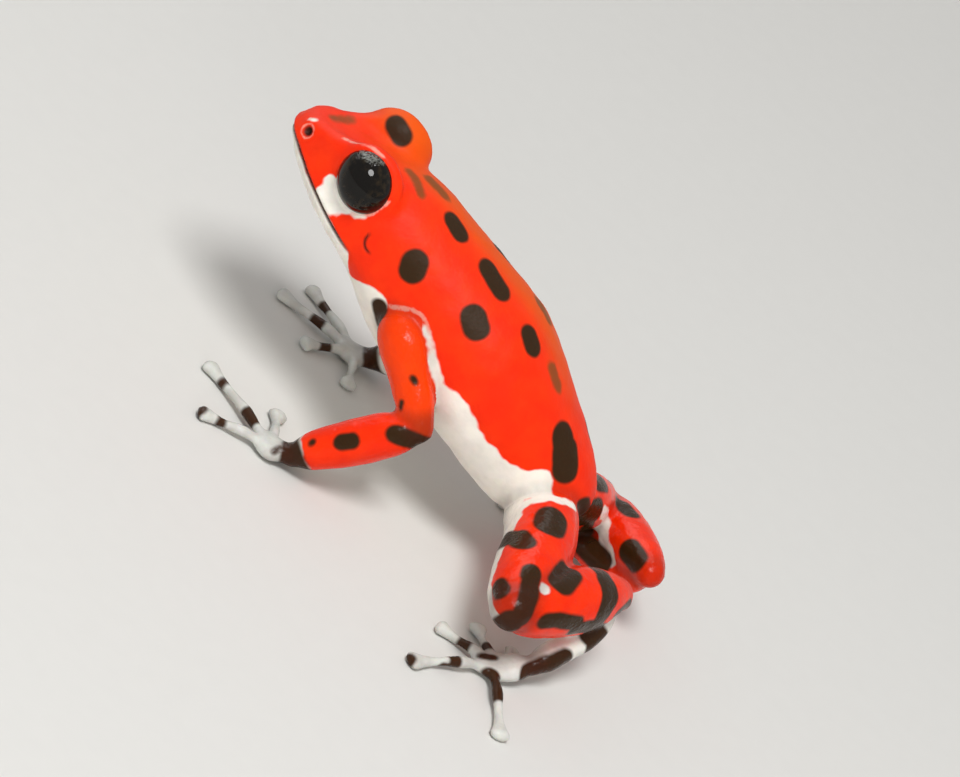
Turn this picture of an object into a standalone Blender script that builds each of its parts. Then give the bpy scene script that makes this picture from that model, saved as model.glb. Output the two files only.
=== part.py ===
"""A strawberry poison dart frog as a life-size still model.

It sits up on its four feet with its head high and its hind legs folded.
Lengths below are in millimetres. Blender's own unit is the metre, and MM turns one into the other.
X points to the frog's left, Y to its rear and Z up, so that it faces along -Y.
"""

import math

import bmesh
import bpy
import numpy as np
from mathutils import Matrix, Vector

MM = 0.001

# Gaps between neighbouring solids
GAP = 0.28
EYE_GAP = 0.11

# Finish of the meshes: points closer than the first value are joined, and edges that bend more than the
# second stay sharp
MERGE_DISTANCE = 0.002
SHARP_ANGLE = math.radians(50)

# Trunk and head, measured along the line from the snout's tip to the vent
SNOUT_AT = 0.2
BODY_END = 20.7
BODY_PITCH = math.radians(15)
BODY_START = (0.0, -7.82, 10.46)
NECK_AT = 7.3
BODY_SIDES = 32
HEAD_RINGS = 18
TRUNK_RINGS = 16
END_CROWDING = 1.35

# Each station: distance behind the snout, top, bottom, half width, level of the greatest width, and how
# boxy the section is above that level, where 2 is an ellipse
BODY_STATIONS = (
    (SNOUT_AT, 0.28, -0.20, 0.42, 0.05, 2.2),
    (0.42, 0.66, -0.52, 0.86, 0.05, 2.3),
    (0.80, 0.94, -0.78, 1.17, 0.00, 2.5),
    (1.30, 1.16, -1.00, 1.50, -0.10, 2.8),
    (2.10, 1.46, -1.20, 2.00, -0.25, 3.0),
    (3.10, 1.84, -1.38, 2.50, -0.40, 2.8),
    (4.20, 2.24, -1.54, 2.86, -0.45, 2.5),
    (5.20, 2.60, -1.70, 3.02, -0.40, 2.3),
    (6.30, 2.88, -1.98, 3.10, -0.25, 2.2),
    (8.30, 2.98, -2.80, 3.22, -0.05, 2.1),
    (11.2, 3.07, -3.30, 3.56, -0.15, 2.1),
    (13.0, 3.02, -3.30, 3.70, -0.30, 2.1),
    (14.8, 2.48, -3.28, 3.58, -0.50, 2.1),
    (16.7, 1.78, -3.36, 3.20, -0.80, 2.1),
    (18.2, 1.24, -3.30, 2.70, -0.95, 2.1),
    (19.6, 0.60, -2.90, 2.00, -1.05, 2.1),
    (20.4, -0.05, -2.15, 1.15, -1.05, 2.1),
    (BODY_END, -0.55, -1.55, 0.50, -1.05, 2.1),
)
LOWER_ROUNDNESS = 2.25

# Head: eyes, nostrils, mouth and eardrums, placed by distance behind the snout, height and side. The
# head is turned a little, so the right eye, -1, lies further forward and higher than the left one, 1
EYE_AT = {1: (3.87, 1.56, 2.24), -1: (3.62, 1.72, 2.24)}
EYE_RADIUS = 1.19
EYE_LENGTHEN = 1.13
EYE_LONG_AXIS = (0.85, -0.53, 0.0)
EYE_GAZE = (-0.22, 0.22, 0.95)
EYE_BACK = 0.22
EYE_DIVISIONS = (24, 18)
SOCKET_FLOOR = -0.02
SOCKET_REACH = 3.0
SOCKET_SIDES = 28
LID_RADIUS = 1.49
LID_LENGTHEN = 1.12
LID_EDGE = 0.36
LID_DIVISIONS = (24, 16)
BROW_RIDGE = {
    1: ((0.95, 0.54, 0.70), (2.0, 1.00, 1.26), (3.1, 1.72, 1.66)),
    -1: ((0.95, 0.54, 0.70), (2.0, 1.05, 1.26), (2.9, 1.86, 1.66)),
}
BROW_RIDGE_SIZES = (0.46, 0.58, 0.72)
BROW_RINGS = 8
BROW_SIDES = 12
NOSTRIL_AT = (0.95, 0.42, 1.12)
NOSTRIL_RADIUS = 0.17
NOSTRIL_DIVISIONS = (10, 6)
MOUTH_LEVEL = -0.25
MOUTH_FALL = 0.072
MOUTH_END = 5.9
MOUTH_LINE = 0.13
MOUTH_DEPTH = 0.20
EARDRUM_AT = (6.12, 0.55)
EARDRUM_RADIUS = 0.46
EARDRUM_DEPTH = 0.10
EARDRUM_REACH = 1.0
EARDRUM_SIDES = 14

# Limbs: joints as points, then half widths from root to tip
LIMB_SIDES = 14
LIMB_RINGS = 9
CAP_ANGLES = (math.radians(72), math.radians(38))
BOW_AT = (0.35, 0.7)
STRAIGHT = (0.0, 0.0, 0.0)
UPRIGHT = (0.0, 0.0, 1.0)
ACROSS = (1.0, 0.0, 0.2)
ARM_JOINTS = {
    "left": ((1.9, 0.9, 7.2), (3.1, 1.45, 7.05), (4.6, 4.40, 4.95), (5.5, 1.10, 0.72)),
    "right": ((-1.9, 0.9, 7.2), (-3.1, 1.45, 7.05), (-5.2, 4.4, 4.6), (-5.7, 0.95, 0.75)),
}
UPPER_ARM_SIZES = (1.10, 1.06, 0.86, 0.84)
FOREARM_SIZES = (0.84, 0.98, 0.92, 0.70)
LEG_JOINTS = {
    "left": ((0.9, 10.25, 3.95), (9.15, 12.0, 3.65), (2.6, 15.0, 3.64), (6.9, 14.2, 0.95)),
    "right": ((-0.9, 10.25, 3.65), (-7.3, 12.45, 1.45), (-1.6, 15.7, 3.3), (-4.0, 12.9, 0.82)),
}
THIGH_BOW = (0.0, 0.35, 0.15)
THIGH_SIZES = {"left": (1.60, 1.54, 1.46, 1.16), "right": (1.50, 1.40, 1.22, 0.98)}
SHANK_SIZES = {"left": (1.14, 1.42, 1.40, 0.92), "right": (0.96, 1.16, 1.12, 0.84)}
TARSUS_BOW = (0.0, 0.42, -0.42)
TARSUS_SIZES = (0.74, 0.66, 0.60, 0.64)

# Digits: where each disc lies on the floor, from the innermost digit to the outermost
DIGIT_SIDES = 10
DIGIT_RINGS = 8
DIGIT_HALF_HEIGHT = 0.27
DIGIT_SIZES = ((0.34, 0.32), (0.30, 0.28), (0.27, 0.26), (0.46, DIGIT_HALF_HEIGHT))
DISC_LENGTH = 0.68
KNUCKLE_HEIGHT = 0.46
PAW_RINGS = 8
PALM = {"left": (5.70, 0.10, 0.40), "right": (-5.5, 0.2, 0.40)}
PALM_SIZES = ((0.66, 0.66), (0.67, 0.53), (0.74, 0.42), (0.59, 0.38))
FINGER_TIPS = {
    "left": ((3.3, 1.7), (2.8, -0.5), (3.2, -3.95), (6.7, -2.85)),
    "right": ((-3.4, 0.8), (-3.8, -1.7), (-5.95, -3.85), (-8.0, -3.0)),
}
SOLE = {"left": (8.1, 12.9, 0.36), "right": (-4.9, 11.6, 0.36)}
SOLE_SIZES = ((0.61, 0.61), (0.72, 0.48), (0.80, 0.38), (0.64, 0.34))
TOE_TIPS = {
    "left": ((5.9, 13.3), (6.1, 11.5), (8.0, 10.3), (11.6, 10.2), (11.8, 14.8)),
    "right": ((-3.6, 10.5), (-4.0, 9.1), (-5.2, 7.5), (-7.7, 6.9), (-8.7, 9.8)),
}
FLOOR_BITE = 0.03

COLOURS = {
    "skin_red": ((0.86, 0.09, 0.012), 0.38),
    "skin_pale": ((0.66, 0.66, 0.60), 0.45),
    "eye_black": ((0.012, 0.010, 0.008), 0.06),
}


def clear_scene():
    """Removes every object and mesh that Blender starts with."""
    for thing in list(bpy.data.objects):
        bpy.data.objects.remove(thing)
    for mesh in list(bpy.data.meshes):
        bpy.data.meshes.remove(mesh)


def make_material(thing, finish):
    """One sub-part's own material, in one of the frog's finishes."""
    colour, roughness = COLOURS[finish]
    material = bpy.data.materials.new(f"{thing.name}_{finish}")
    material.use_nodes = True
    shader = material.node_tree.nodes["Principled BSDF"]
    shader.inputs["Base Color"].default_value = (*colour, 1.0)
    shader.inputs["Roughness"].default_value = roughness
    material.diffuse_color = (*colour, 1.0)
    return material


def smooth_through(knots, values, at):
    """Values at the places in at, on a smooth cubic that passes through the values at the knots."""
    knots = np.asarray(knots, float)
    values = np.asarray(values, float)
    slopes = np.gradient(values, knots, axis=0)
    index = np.clip(np.searchsorted(knots, at) - 1, 0, len(knots) - 2)
    width = knots[index + 1] - knots[index]
    t = (at - knots[index]) / width
    if values.ndim == 2:
        t, width = t[:, None], width[:, None]
    return (
        (2 * t**3 - 3 * t**2 + 1) * values[index]
        + (t**3 - 2 * t**2 + t) * width * slopes[index]
        + (3 * t**2 - 2 * t**3) * values[index + 1]
        + (t**3 - t**2) * width * slopes[index + 1]
    )


def body_point(behind, height, side):
    """A point in space, from its distance along the body's line, its height off that line and its side."""
    level = math.cos(BODY_PITCH)
    rise = math.sin(BODY_PITCH)
    return Vector((
        BODY_START[0] + side,
        BODY_START[1] + behind * level + height * rise,
        BODY_START[2] - behind * rise + height * level,
    ))


def body_direction(behind, height, side):
    return (body_point(behind, height, side) - body_point(0, 0, 0)).normalized()


def new_object(name, mesh):
    thing = bpy.data.objects.new(name, mesh)
    bpy.context.scene.collection.objects.link(thing)
    return thing


def object_from(name, form):
    """A mesh object from a bmesh in millimetres, with its faces pointing out."""
    form.normal_update()
    bmesh.ops.recalc_face_normals(form, faces=form.faces)
    mesh = bpy.data.meshes.new(name)
    form.to_mesh(mesh)
    form.free()
    return new_object(name, mesh)


def loft(name, rings):
    """A closed solid through rings of points, each ring with the same number of points."""
    form = bmesh.new()
    rows = [[form.verts.new(point) for point in ring] for ring in rings]
    for row, following in zip(rows, rows[1:]):
        for i in range(len(row)):
            j = (i + 1) % len(row)
            form.faces.new((row[i], row[j], following[j], following[i]))
    for row in (rows[0], rows[-1]):
        centre = form.verts.new(sum((vert.co for vert in row), Vector()) / len(row))
        for i in range(len(row)):
            form.faces.new((centre, row[i], row[(i + 1) % len(row)]))
    return object_from(name, form)


def superellipse(count, upper, lower):
    """Unit outline points (across, up) of a rounded section, boxier as upper and lower grow past 2."""
    angle = np.linspace(0, 2 * np.pi, count, endpoint=False)
    across, up = np.cos(angle), np.sin(angle)
    power = np.where(up > 0, 2 / upper, 2 / lower)
    return np.sign(across) * np.abs(across) ** power, np.sign(up) * np.abs(up) ** power


def body_solid(name, start, end, rings, grow=0.0):
    """The head and trunk between two distances along the body's line, grown outwards by grow."""
    stations = np.array(BODY_STATIONS)
    share = np.linspace(0, 1, rings)
    if start == SNOUT_AT:
        share = share**END_CROWDING
    if end == BODY_END:
        share = 1 - (1 - share) ** END_CROWDING
    behind = start + (end - start) * share
    top, bottom, half, level, upper = smooth_through(stations[:, 0], stations[:, 1:], behind).T
    middle = (SNOUT_AT + BODY_END) / 2
    behind = middle + (behind - middle) * (1 + 2 * grow / (BODY_END - SNOUT_AT))
    outline = []
    for k in range(rings):
        across, up = superellipse(BODY_SIDES, upper[k], LOWER_ROUNDNESS)
        reach = np.where(up > 0, top[k] + grow - level[k], level[k] - bottom[k] + grow)
        heights = level[k] + reach * up
        sides = across * (half[k] + grow)
        outline.append([body_point(behind[k], height, side) for height, side in zip(heights, sides)])
    return loft(name, outline)


def tube(name, path, sizes, rings=LIMB_RINGS, sides=LIMB_SIDES, upright=UPRIGHT):
    """A limb along a path, with rounded ends.

    Its sizes are evenly spaced along the path, each a radius or a pair of half width and half height.
    """
    path = np.array(path, float)
    sizes = np.array([size if isinstance(size, tuple) else (size, size) for size in sizes])
    along = np.concatenate([[0], np.cumsum(np.linalg.norm(np.diff(path, axis=0), axis=1))])
    at = np.linspace(0, along[-1], rings)
    centres = smooth_through(along, path, at)
    widths = smooth_through(np.linspace(0, along[-1], len(sizes)), sizes, at)
    tangents = np.gradient(centres, axis=0)
    tangents /= np.linalg.norm(tangents, axis=1)[:, None]
    across = np.cross(tangents, upright)
    across /= np.linalg.norm(across, axis=1)[:, None]
    upward = np.cross(across, tangents)
    angle = np.linspace(0, 2 * np.pi, sides, endpoint=False)

    def ring(k, push, shrink):
        centre = centres[k] + tangents[k] * push * min(widths[k])
        spread = shrink * (
            np.outer(np.cos(angle) * widths[k][0], across[k])
            + np.outer(np.sin(angle) * widths[k][1], upward[k])
        )
        return [Vector(point) for point in centre + spread]

    outline = [ring(0, -math.sin(a), math.cos(a)) for a in CAP_ANGLES]
    outline += [ring(k, 0, 1) for k in range(rings)]
    outline += [ring(-1, math.sin(a), math.cos(a)) for a in reversed(CAP_ANGLES)]
    return loft(name, outline)


def ball(name, centre, radius, divisions):
    """A sphere, with its divisions counted round it and from pole to pole."""
    form = bmesh.new()
    bmesh.ops.create_uvsphere(form, u_segments=divisions[0], v_segments=divisions[1], radius=radius)
    bmesh.ops.translate(form, verts=form.verts, vec=centre)
    return object_from(name, form)


def rod(name, start, end, radius, sides):
    """A cylinder from one point to another."""
    axis = end - start
    form = bmesh.new()
    bmesh.ops.create_cone(
        form, cap_ends=True, segments=sides, radius1=radius, radius2=radius, depth=axis.length
    )
    turn = axis.to_track_quat("Z", "Y").to_matrix().to_4x4()
    form.transform(Matrix.Translation((start + end) / 2) @ turn)
    return object_from(name, form)


def keep_side(thing, point, normal):
    """Cuts a solid flat and keeps the side that the normal points to."""
    form = bmesh.new()
    form.from_mesh(thing.data)
    cut = bmesh.ops.bisect_plane(
        form,
        geom=form.verts[:] + form.edges[:] + form.faces[:],
        plane_co=point,
        plane_no=normal,
        clear_inner=True,
    )
    edges = [part for part in cut["geom_cut"] if isinstance(part, bmesh.types.BMEdge)]
    bmesh.ops.triangle_fill(form, edges=edges, use_beauty=True)
    form.normal_update()
    bmesh.ops.recalc_face_normals(form, faces=form.faces)
    form.to_mesh(thing.data)
    form.free()


def part_at_joint(first, second, before, joint, after):
    """Parts two limb segments with a flat gap that bisects the bend between them."""
    joint = Vector(joint)
    back = (Vector(before) - joint).normalized()
    onward = (Vector(after) - joint).normalized()
    normal = (back - onward).normalized()
    keep_side(first, joint + normal * GAP / 2, normal)
    keep_side(second, joint - normal * GAP / 2, -normal)


def apply_boolean(thing, operation, others):
    """Joins or cuts a solid with others, which are then removed."""
    helpers = bpy.data.collections.new("helpers")
    for other in others:
        helpers.objects.link(other)
    step = thing.modifiers.new("boolean", "BOOLEAN")
    step.operation = operation
    step.operand_type = "COLLECTION"
    step.collection = helpers
    step.solver = "MANIFOLD"
    graph = bpy.context.evaluated_depsgraph_get()
    made = bpy.data.meshes.new_from_object(thing.evaluated_get(graph))
    thing.modifiers.remove(step)
    thing.data = made
    bpy.data.collections.remove(helpers)
    for other in others:
        bpy.data.objects.remove(other)
    return thing


def keep_largest(thing):
    """Keeps the largest closed surface of a mesh, by volume."""
    form = bmesh.new()
    form.from_mesh(thing.data)
    bmesh.ops.remove_doubles(form, verts=form.verts, dist=MERGE_DISTANCE)
    bmesh.ops.triangulate(form, faces=form.faces)
    left = set(form.faces)
    islands = []
    while left:
        island = [left.pop()]
        for face in island:
            for edge in face.edges:
                met = [other for other in edge.link_faces if edge.is_manifold and other in left]
                left.difference_update(met)
                island.extend(met)
        islands.append(island)

    def volume(island):
        return sum(
            face.verts[0].co.dot(face.verts[1].co.cross(face.verts[2].co)) for face in island
        )

    islands.sort(key=volume)
    loose = [face for island in islands[:-1] for face in island]
    bmesh.ops.delete(form, geom=loose, context="FACES")
    form.to_mesh(thing.data)
    form.free()


def eye_frame(side):
    """An eye's centre, the direction that it looks in and the stretch that makes it long rather than round.

    side is 1 for the left and -1 for the right.
    """
    behind, height, out = EYE_AT[side]
    centre = body_point(behind, height, side * out)
    gaze = body_direction(EYE_GAZE[0], EYE_GAZE[1], side * EYE_GAZE[2])
    along = body_direction(*EYE_LONG_AXIS)
    along = (along - gaze * along.dot(gaze)).normalized()
    return centre, gaze, Matrix.Scale(EYE_LENGTHEN, 4, along)


def make_lid(side):
    """The mound of lid round an eye, longer than wide along the head and cut flat at the lid's edge."""
    centre, gaze, _ = eye_frame(side)
    mound = ball("lid", Vector(), LID_RADIUS, LID_DIVISIONS)
    along = body_direction(1, 0, 0)
    stretch = Matrix.Scale(LID_LENGTHEN, 4, along)
    mound.data.transform(Matrix.Translation(centre) @ stretch)
    keep_side(mound, centre + gaze * LID_EDGE, -gaze)
    return mound


def make_mouth_cutter():
    """A thin slab at the mouth's level, hollowed so that it only scores the lips."""
    form = bmesh.new()
    bmesh.ops.create_cube(form, size=1)
    reach = 2 * MOUTH_END
    for vert in form.verts:
        behind = MOUTH_END if vert.co.y > 0 else MOUTH_END - reach
        level = MOUTH_LEVEL - MOUTH_FALL * behind + MOUTH_LINE * vert.co.z
        vert.co = body_point(behind, level, vert.co.x * reach)
    slab = object_from("mouth_slab", form)
    core = body_solid("mouth_core", SNOUT_AT, NECK_AT, HEAD_RINGS, -MOUTH_DEPTH)
    core.data.transform(Matrix.Translation(body_direction(1, 0, 0) * MOUTH_DEPTH))
    return apply_boolean(slab, "DIFFERENCE", [core])


def make_brow(side):
    """The ridge that runs from a nostril back to the top of the eye."""
    path = [body_point(behind, height, side * out) for behind, height, out in BROW_RIDGE[side]]
    return tube("brow", path, BROW_RIDGE_SIZES, rings=BROW_RINGS, sides=BROW_SIDES)


def make_head():
    head = body_solid("head", SNOUT_AT, NECK_AT, HEAD_RINGS)
    apply_boolean(head, "UNION", [make(side) for make in (make_lid, make_brow) for side in (1, -1)])
    cutters = [make_mouth_cutter()]
    for side in (1, -1):
        centre, gaze, stretch = eye_frame(side)
        rim = math.sqrt(EYE_RADIUS**2 - EYE_BACK**2) + EYE_GAP
        socket = rod("socket", gaze * SOCKET_FLOOR, gaze * SOCKET_REACH, rim, SOCKET_SIDES)
        socket.data.transform(Matrix.Translation(centre) @ stretch)
        cutters.append(socket)
        behind, height, out = NOSTRIL_AT
        nostril = body_point(behind, height, side * out)
        cutters.append(ball("nostril", nostril, NOSTRIL_RADIUS, NOSTRIL_DIVISIONS))
        behind, height = EARDRUM_AT
        half = np.interp(behind, [row[0] for row in BODY_STATIONS], [row[3] for row in BODY_STATIONS])
        skin = body_point(behind, height, side * (half - EARDRUM_DEPTH))
        away = body_point(behind, height, side * (half + EARDRUM_REACH))
        cutters.append(rod("eardrum", skin, away, EARDRUM_RADIUS, EARDRUM_SIDES))
    apply_boolean(head, "DIFFERENCE", cutters)
    neck = body_point(NECK_AT, 0, 0)
    backward = body_direction(1, 0, 0)
    keep_side(head, neck - backward * GAP / 2, -backward)
    return head


def make_trunk_space():
    """The room that the limbs leave round the head and trunk."""
    return body_solid("trunk_space", SNOUT_AT, BODY_END, HEAD_RINGS + TRUNK_RINGS, GAP)


def make_trunk():
    trunk = body_solid("trunk", NECK_AT, BODY_END, TRUNK_RINGS)
    backward = body_direction(1, 0, 0)
    keep_side(trunk, body_point(NECK_AT, 0, 0) + backward * GAP / 2, backward)
    return trunk


def make_eye(side, name):
    """The part of an eyeball that shows, with a flat back."""
    centre, gaze, stretch = eye_frame(side)
    eye = ball(name, Vector(), EYE_RADIUS, EYE_DIVISIONS)
    turn = gaze.to_track_quat("Z", "Y").to_matrix().to_4x4()
    eye.data.transform(Matrix.Translation(centre) @ stretch @ turn)
    keep_side(eye, centre + gaze * EYE_BACK, gaze)
    return eye


def between(first, last, share):
    return np.array(first) + (np.array(last) - np.array(first)) * share


def bowed(first, last, bow):
    """Four points from one joint to the next, the second pushed out by the bow and the third by half of it."""
    bow = np.array(bow)
    near, far = (between(first, last, share) for share in BOW_AT)
    return first, near + bow, far + bow / 2, last


def make_arm(side):
    """The upper arm and forearm of one side. The upper arm's root follows the trunk's surface."""
    root, shoulder, elbow, wrist = ARM_JOINTS[side]
    upper = tube(
        f"upper_arm_{side}",
        (root, shoulder, between(shoulder, elbow, 0.5), elbow),
        UPPER_ARM_SIZES,
        upright=ACROSS,
    )
    lower = tube(f"forearm_{side}", bowed(elbow, wrist, STRAIGHT), FOREARM_SIZES, upright=ACROSS)
    part_at_joint(upper, lower, shoulder, elbow, wrist)
    apply_boolean(upper, "DIFFERENCE", [make_trunk_space()])
    up_arm = (Vector(elbow) - Vector(wrist)).normalized()
    keep_side(lower, Vector(wrist) + up_arm * GAP, up_arm)
    return upper, lower


def make_leg(side):
    """The thigh, shank and tarsus of one side, folded like a Z."""
    hip, knee, heel, ball_of_foot = LEG_JOINTS[side]
    thigh = tube(f"thigh_{side}", bowed(hip, knee, THIGH_BOW), THIGH_SIZES[side])
    shank = tube(f"shank_{side}", bowed(knee, heel, STRAIGHT), SHANK_SIZES[side])
    tarsus = tube(f"tarsus_{side}", bowed(heel, ball_of_foot, TARSUS_BOW), TARSUS_SIZES)
    part_at_joint(thigh, shank, hip, knee, heel)
    part_at_joint(shank, tarsus, knee, heel, ball_of_foot)
    apply_boolean(thigh, "DIFFERENCE", [make_trunk_space()])
    up_leg = (Vector(heel) - Vector(ball_of_foot)).normalized()
    keep_side(tarsus, Vector(ball_of_foot) + up_leg * GAP, up_leg)
    return thigh, shank, tarsus


def make_digit(root, tip):
    """A finger or toe that arches from its root to the floor, then widens into its disc."""
    tip = np.array((*tip, DIGIT_HALF_HEIGHT - FLOOR_BITE))
    onward = (tip - root) / np.linalg.norm(tip - root)
    neck = tip - onward * DISC_LENGTH
    knuckle = between(root, neck, 0.5)
    knuckle[2] = KNUCKLE_HEIGHT
    return tube("digit", (root, knuckle, neck, tip), DIGIT_SIZES, rings=DIGIT_RINGS, sides=DIGIT_SIDES)


def make_paw(name, joint, before, middle, tips, sizes):
    """A hand or foot: its palm or sole, fused with its digits, and flat where it meets the floor."""
    joint, middle = np.array(joint), np.array(middle)
    forward = np.array((*np.mean(tips, axis=0), middle[2])) - middle
    front = middle + forward / np.linalg.norm(forward) * sizes[-1][0]
    paw = tube(name, (joint, between(joint, middle, 0.5), middle, front), sizes, rings=PAW_RINGS)
    apply_boolean(paw, "UNION", [make_digit(middle, tip) for tip in tips])
    keep_side(paw, Vector(), Vector(UPRIGHT))
    keep_side(paw, Vector(joint), Vector(joint - np.array(before)))
    return paw


def make_hand(side):
    _, _, elbow, wrist = ARM_JOINTS[side]
    return make_paw(f"hand_{side}", wrist, elbow, PALM[side], FINGER_TIPS[side], PALM_SIZES)


def make_foot(side):
    _, _, heel, ball_of_foot = LEG_JOINTS[side]
    return make_paw(f"foot_{side}", ball_of_foot, heel, SOLE[side], TOE_TIPS[side], SOLE_SIZES)


def settle(nodes):
    """Turns millimetres into metres, and moves the frog so that the middle of its box stands on the origin."""
    corners = np.array([vert.co for thing in nodes for vert in thing.data.vertices])
    low, high = corners.min(axis=0), corners.max(axis=0)
    middle = (low + high) / 2
    shift = Matrix.Translation((-middle[0], -middle[1], -low[2]))
    for thing in nodes:
        thing.data.transform(Matrix.Scale(MM, 4) @ shift)


def main():
    clear_scene()
    nodes = []

    def add(things, finish):
        for thing in things:
            keep_largest(thing)
            thing.data.materials.clear()
            thing.data.materials.append(make_material(thing, finish))
            thing.data.shade_smooth()
            thing.data.set_sharp_from_angle(angle=SHARP_ANGLE)
            nodes.append(thing)

    add([make_head(), make_trunk()], "skin_red")
    add([make_eye(1, "eye_left"), make_eye(-1, "eye_right")], "eye_black")
    for side in ("left", "right"):
        add([*make_arm(side), *make_leg(side)], "skin_red")
        add([make_hand(side), make_foot(side)], "skin_pale")
    settle(nodes)
    frog = bpy.data.collections.new("strawberry_poison_dart_frog")
    bpy.context.scene.collection.children.link(frog)
    for thing in nodes:
        bpy.context.scene.collection.objects.unlink(thing)
        frog.objects.link(thing)


main()
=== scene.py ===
"""The looks of a life-size strawberry poison dart frog: one moist skin, two glossy eyes and a pale stage.

Lengths are in the frog's own millimetres: X points to its left, Y to its rear and Z up, and the floor is
at zero. A finished mesh is moved into the frame and turned into metres as its last step.
"""

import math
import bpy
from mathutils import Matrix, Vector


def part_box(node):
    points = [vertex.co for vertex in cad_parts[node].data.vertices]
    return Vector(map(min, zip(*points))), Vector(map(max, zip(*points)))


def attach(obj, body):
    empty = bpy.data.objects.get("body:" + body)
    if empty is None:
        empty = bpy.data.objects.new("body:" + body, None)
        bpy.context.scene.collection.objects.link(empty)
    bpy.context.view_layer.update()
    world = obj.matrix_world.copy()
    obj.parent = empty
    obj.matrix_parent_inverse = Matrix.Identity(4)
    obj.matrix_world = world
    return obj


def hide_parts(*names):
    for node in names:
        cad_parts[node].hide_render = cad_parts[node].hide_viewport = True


bl_info = {
    "name": "Strawberry poison dart frog",
    "version": (1, 0, 0),
    "blender": (4, 5, 0),
    "location": "3D View > Sidebar > Frog",
    "description": "Builds the skin, the eyes and the stage of a life-size frog round its solid model",
    "category": "Object",
}

import bmesh
import bpy
import numpy as np
from bpy.props import FloatProperty, FloatVectorProperty, IntProperty, PointerProperty
from mathutils import Matrix, Vector

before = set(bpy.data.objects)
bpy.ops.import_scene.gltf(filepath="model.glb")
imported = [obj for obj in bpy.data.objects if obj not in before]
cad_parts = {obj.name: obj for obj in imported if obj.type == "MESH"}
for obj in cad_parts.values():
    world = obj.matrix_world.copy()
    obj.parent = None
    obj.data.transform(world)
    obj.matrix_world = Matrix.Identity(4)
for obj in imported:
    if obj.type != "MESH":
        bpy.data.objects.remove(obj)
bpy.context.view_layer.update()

MM = 0.001
SIDES = {"left": 1, "right": -1}

# Keeps a length or its square from being zero where something is divided by it
TINY = 1e-9

# The frog's own origin in the frame, from the middle of its two eyes
EYES_MIDDLE_Y = -3.812
EYE_CORNERS = [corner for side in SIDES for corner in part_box(f"eye_{side}")]
FROG_ORIGIN = np.array((
    (min(corner.x for corner in EYE_CORNERS) + max(corner.x for corner in EYE_CORNERS)) / 2,
    (min(corner.y for corner in EYE_CORNERS) + max(corner.y for corner in EYE_CORNERS)) / 2
    - EYES_MIDDLE_Y * MM,
    0.0,
))

# Trunk and head, measured along the line from the snout's tip to the vent
BODY_START = np.array((0.0, -7.82, 10.46))
BODY_PITCH = math.radians(15)

# Each station: distance behind the snout, top, bottom, half width, level of the greatest width, and how
# boxy the section is above that level, where 2 is an ellipse
BODY_STATIONS = np.array((
    (0.20, 0.28, -0.20, 0.42, 0.05, 2.2),
    (0.42, 0.66, -0.52, 0.86, 0.05, 2.3),
    (0.80, 0.94, -0.78, 1.17, 0.00, 2.5),
    (1.30, 1.16, -1.00, 1.50, -0.10, 2.8),
    (2.10, 1.46, -1.20, 2.00, -0.25, 3.0),
    (3.10, 1.84, -1.38, 2.50, -0.40, 2.8),
    (4.20, 2.24, -1.54, 2.86, -0.45, 2.5),
    (5.20, 2.60, -1.70, 3.02, -0.40, 2.3),
    (6.30, 2.88, -1.98, 3.10, -0.25, 2.2),
    (8.30, 2.98, -2.80, 3.22, -0.05, 2.1),
    (11.2, 3.07, -3.30, 3.56, -0.15, 2.1),
    (13.0, 3.02, -3.30, 3.70, -0.30, 2.1),
    (14.8, 2.48, -3.28, 3.58, -0.50, 2.1),
    (16.7, 1.78, -3.36, 3.20, -0.80, 2.1),
    (18.2, 1.24, -3.30, 2.70, -0.95, 2.1),
    (19.6, 0.60, -2.90, 2.00, -1.05, 2.1),
    (20.4, -0.05, -2.15, 1.15, -1.05, 2.1),
    (20.7, -0.55, -1.55, 0.50, -1.05, 2.1),
))
LOWER_ROUNDNESS = 2.25
BODY_RINGS = 160
BODY_SIDES = 96

# Eyes and lids, placed by distance behind the snout, height and side. The head is turned a little, so
# the right eye, -1, lies further forward and higher than the left one, 1
EYE_AT = {1: (3.87, 1.56, 2.24), -1: (3.62, 1.72, 2.24)}
EYE_LENGTHEN = 1.13
EYE_LONG_AXIS = (0.85, -0.53, 0.0)
EYE_GAZE = (-0.22, 0.22, 0.95)
LID_RADIUS = 1.49
LID_LENGTHEN = 1.12
LID_EDGE = 0.22
LID_HOOD = 0.18
LID_HOOD_SIDE = (-0.55, 0.84, 0.0)
LID_THIN = 0.09
LID_BLEND = 0.42
LID_STEP = 0.05
SOCKET_SINK = 0.12

# Face: brow ridges, nostrils, mouth and eardrums. MOUTH_CORNER is where the mouth's line begins to fade
# and where it ends
BROW_RIDGE = {
    1: ((0.95, 0.54, 0.70), (2.0, 1.00, 1.26), (3.1, 1.72, 1.66)),
    -1: ((0.70, 0.40, 0.56), (2.0, 1.02, 1.26), (2.9, 1.86, 1.66)),
}
BROW_RIDGE_SIZES = (0.46, 0.58, 0.72)
NOSTRIL_AT = (0.93, 0.36, 1.12)
NOSTRIL_WIDTH = 0.17
NOSTRIL_DEPTH = 0.30
NOSTRIL_RIM = 0.03
# Painted shade: a nostril's hole is darkened, and these are where that shade begins to fade and where it
# ends
NOSTRIL_SHADE = (0.15, 0.30)
MOUTH_LEVEL = -0.25
MOUTH_FALL = 0.072
MOUTH_CORNER = (5.1, 6.1)
MOUTH_WIDTH = 0.06
MOUTH_DEPTH = 0.16
MOUTH_SHADE_WIDTH = 0.084
LIP_ABOVE = 0.156
LIP_WIDTH = 0.12
LIP_SWELL = 0.05
EARDRUM_AT = (6.12, 0.55)
EARDRUM_RADIUS = 0.44
EARDRUM_RIM = 0.06
EARDRUM_DEPTH = 0.07
# Painted shade falls on this side of an eardrum's rim, its lower front, where its groove is cut too
EARDRUM_SHADED_SIDE = (-0.6, -0.8)
EARDRUM_FADE = (0.2, 0.8)
EARDRUM_BESIDE = (1.5, 2.2)

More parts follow.
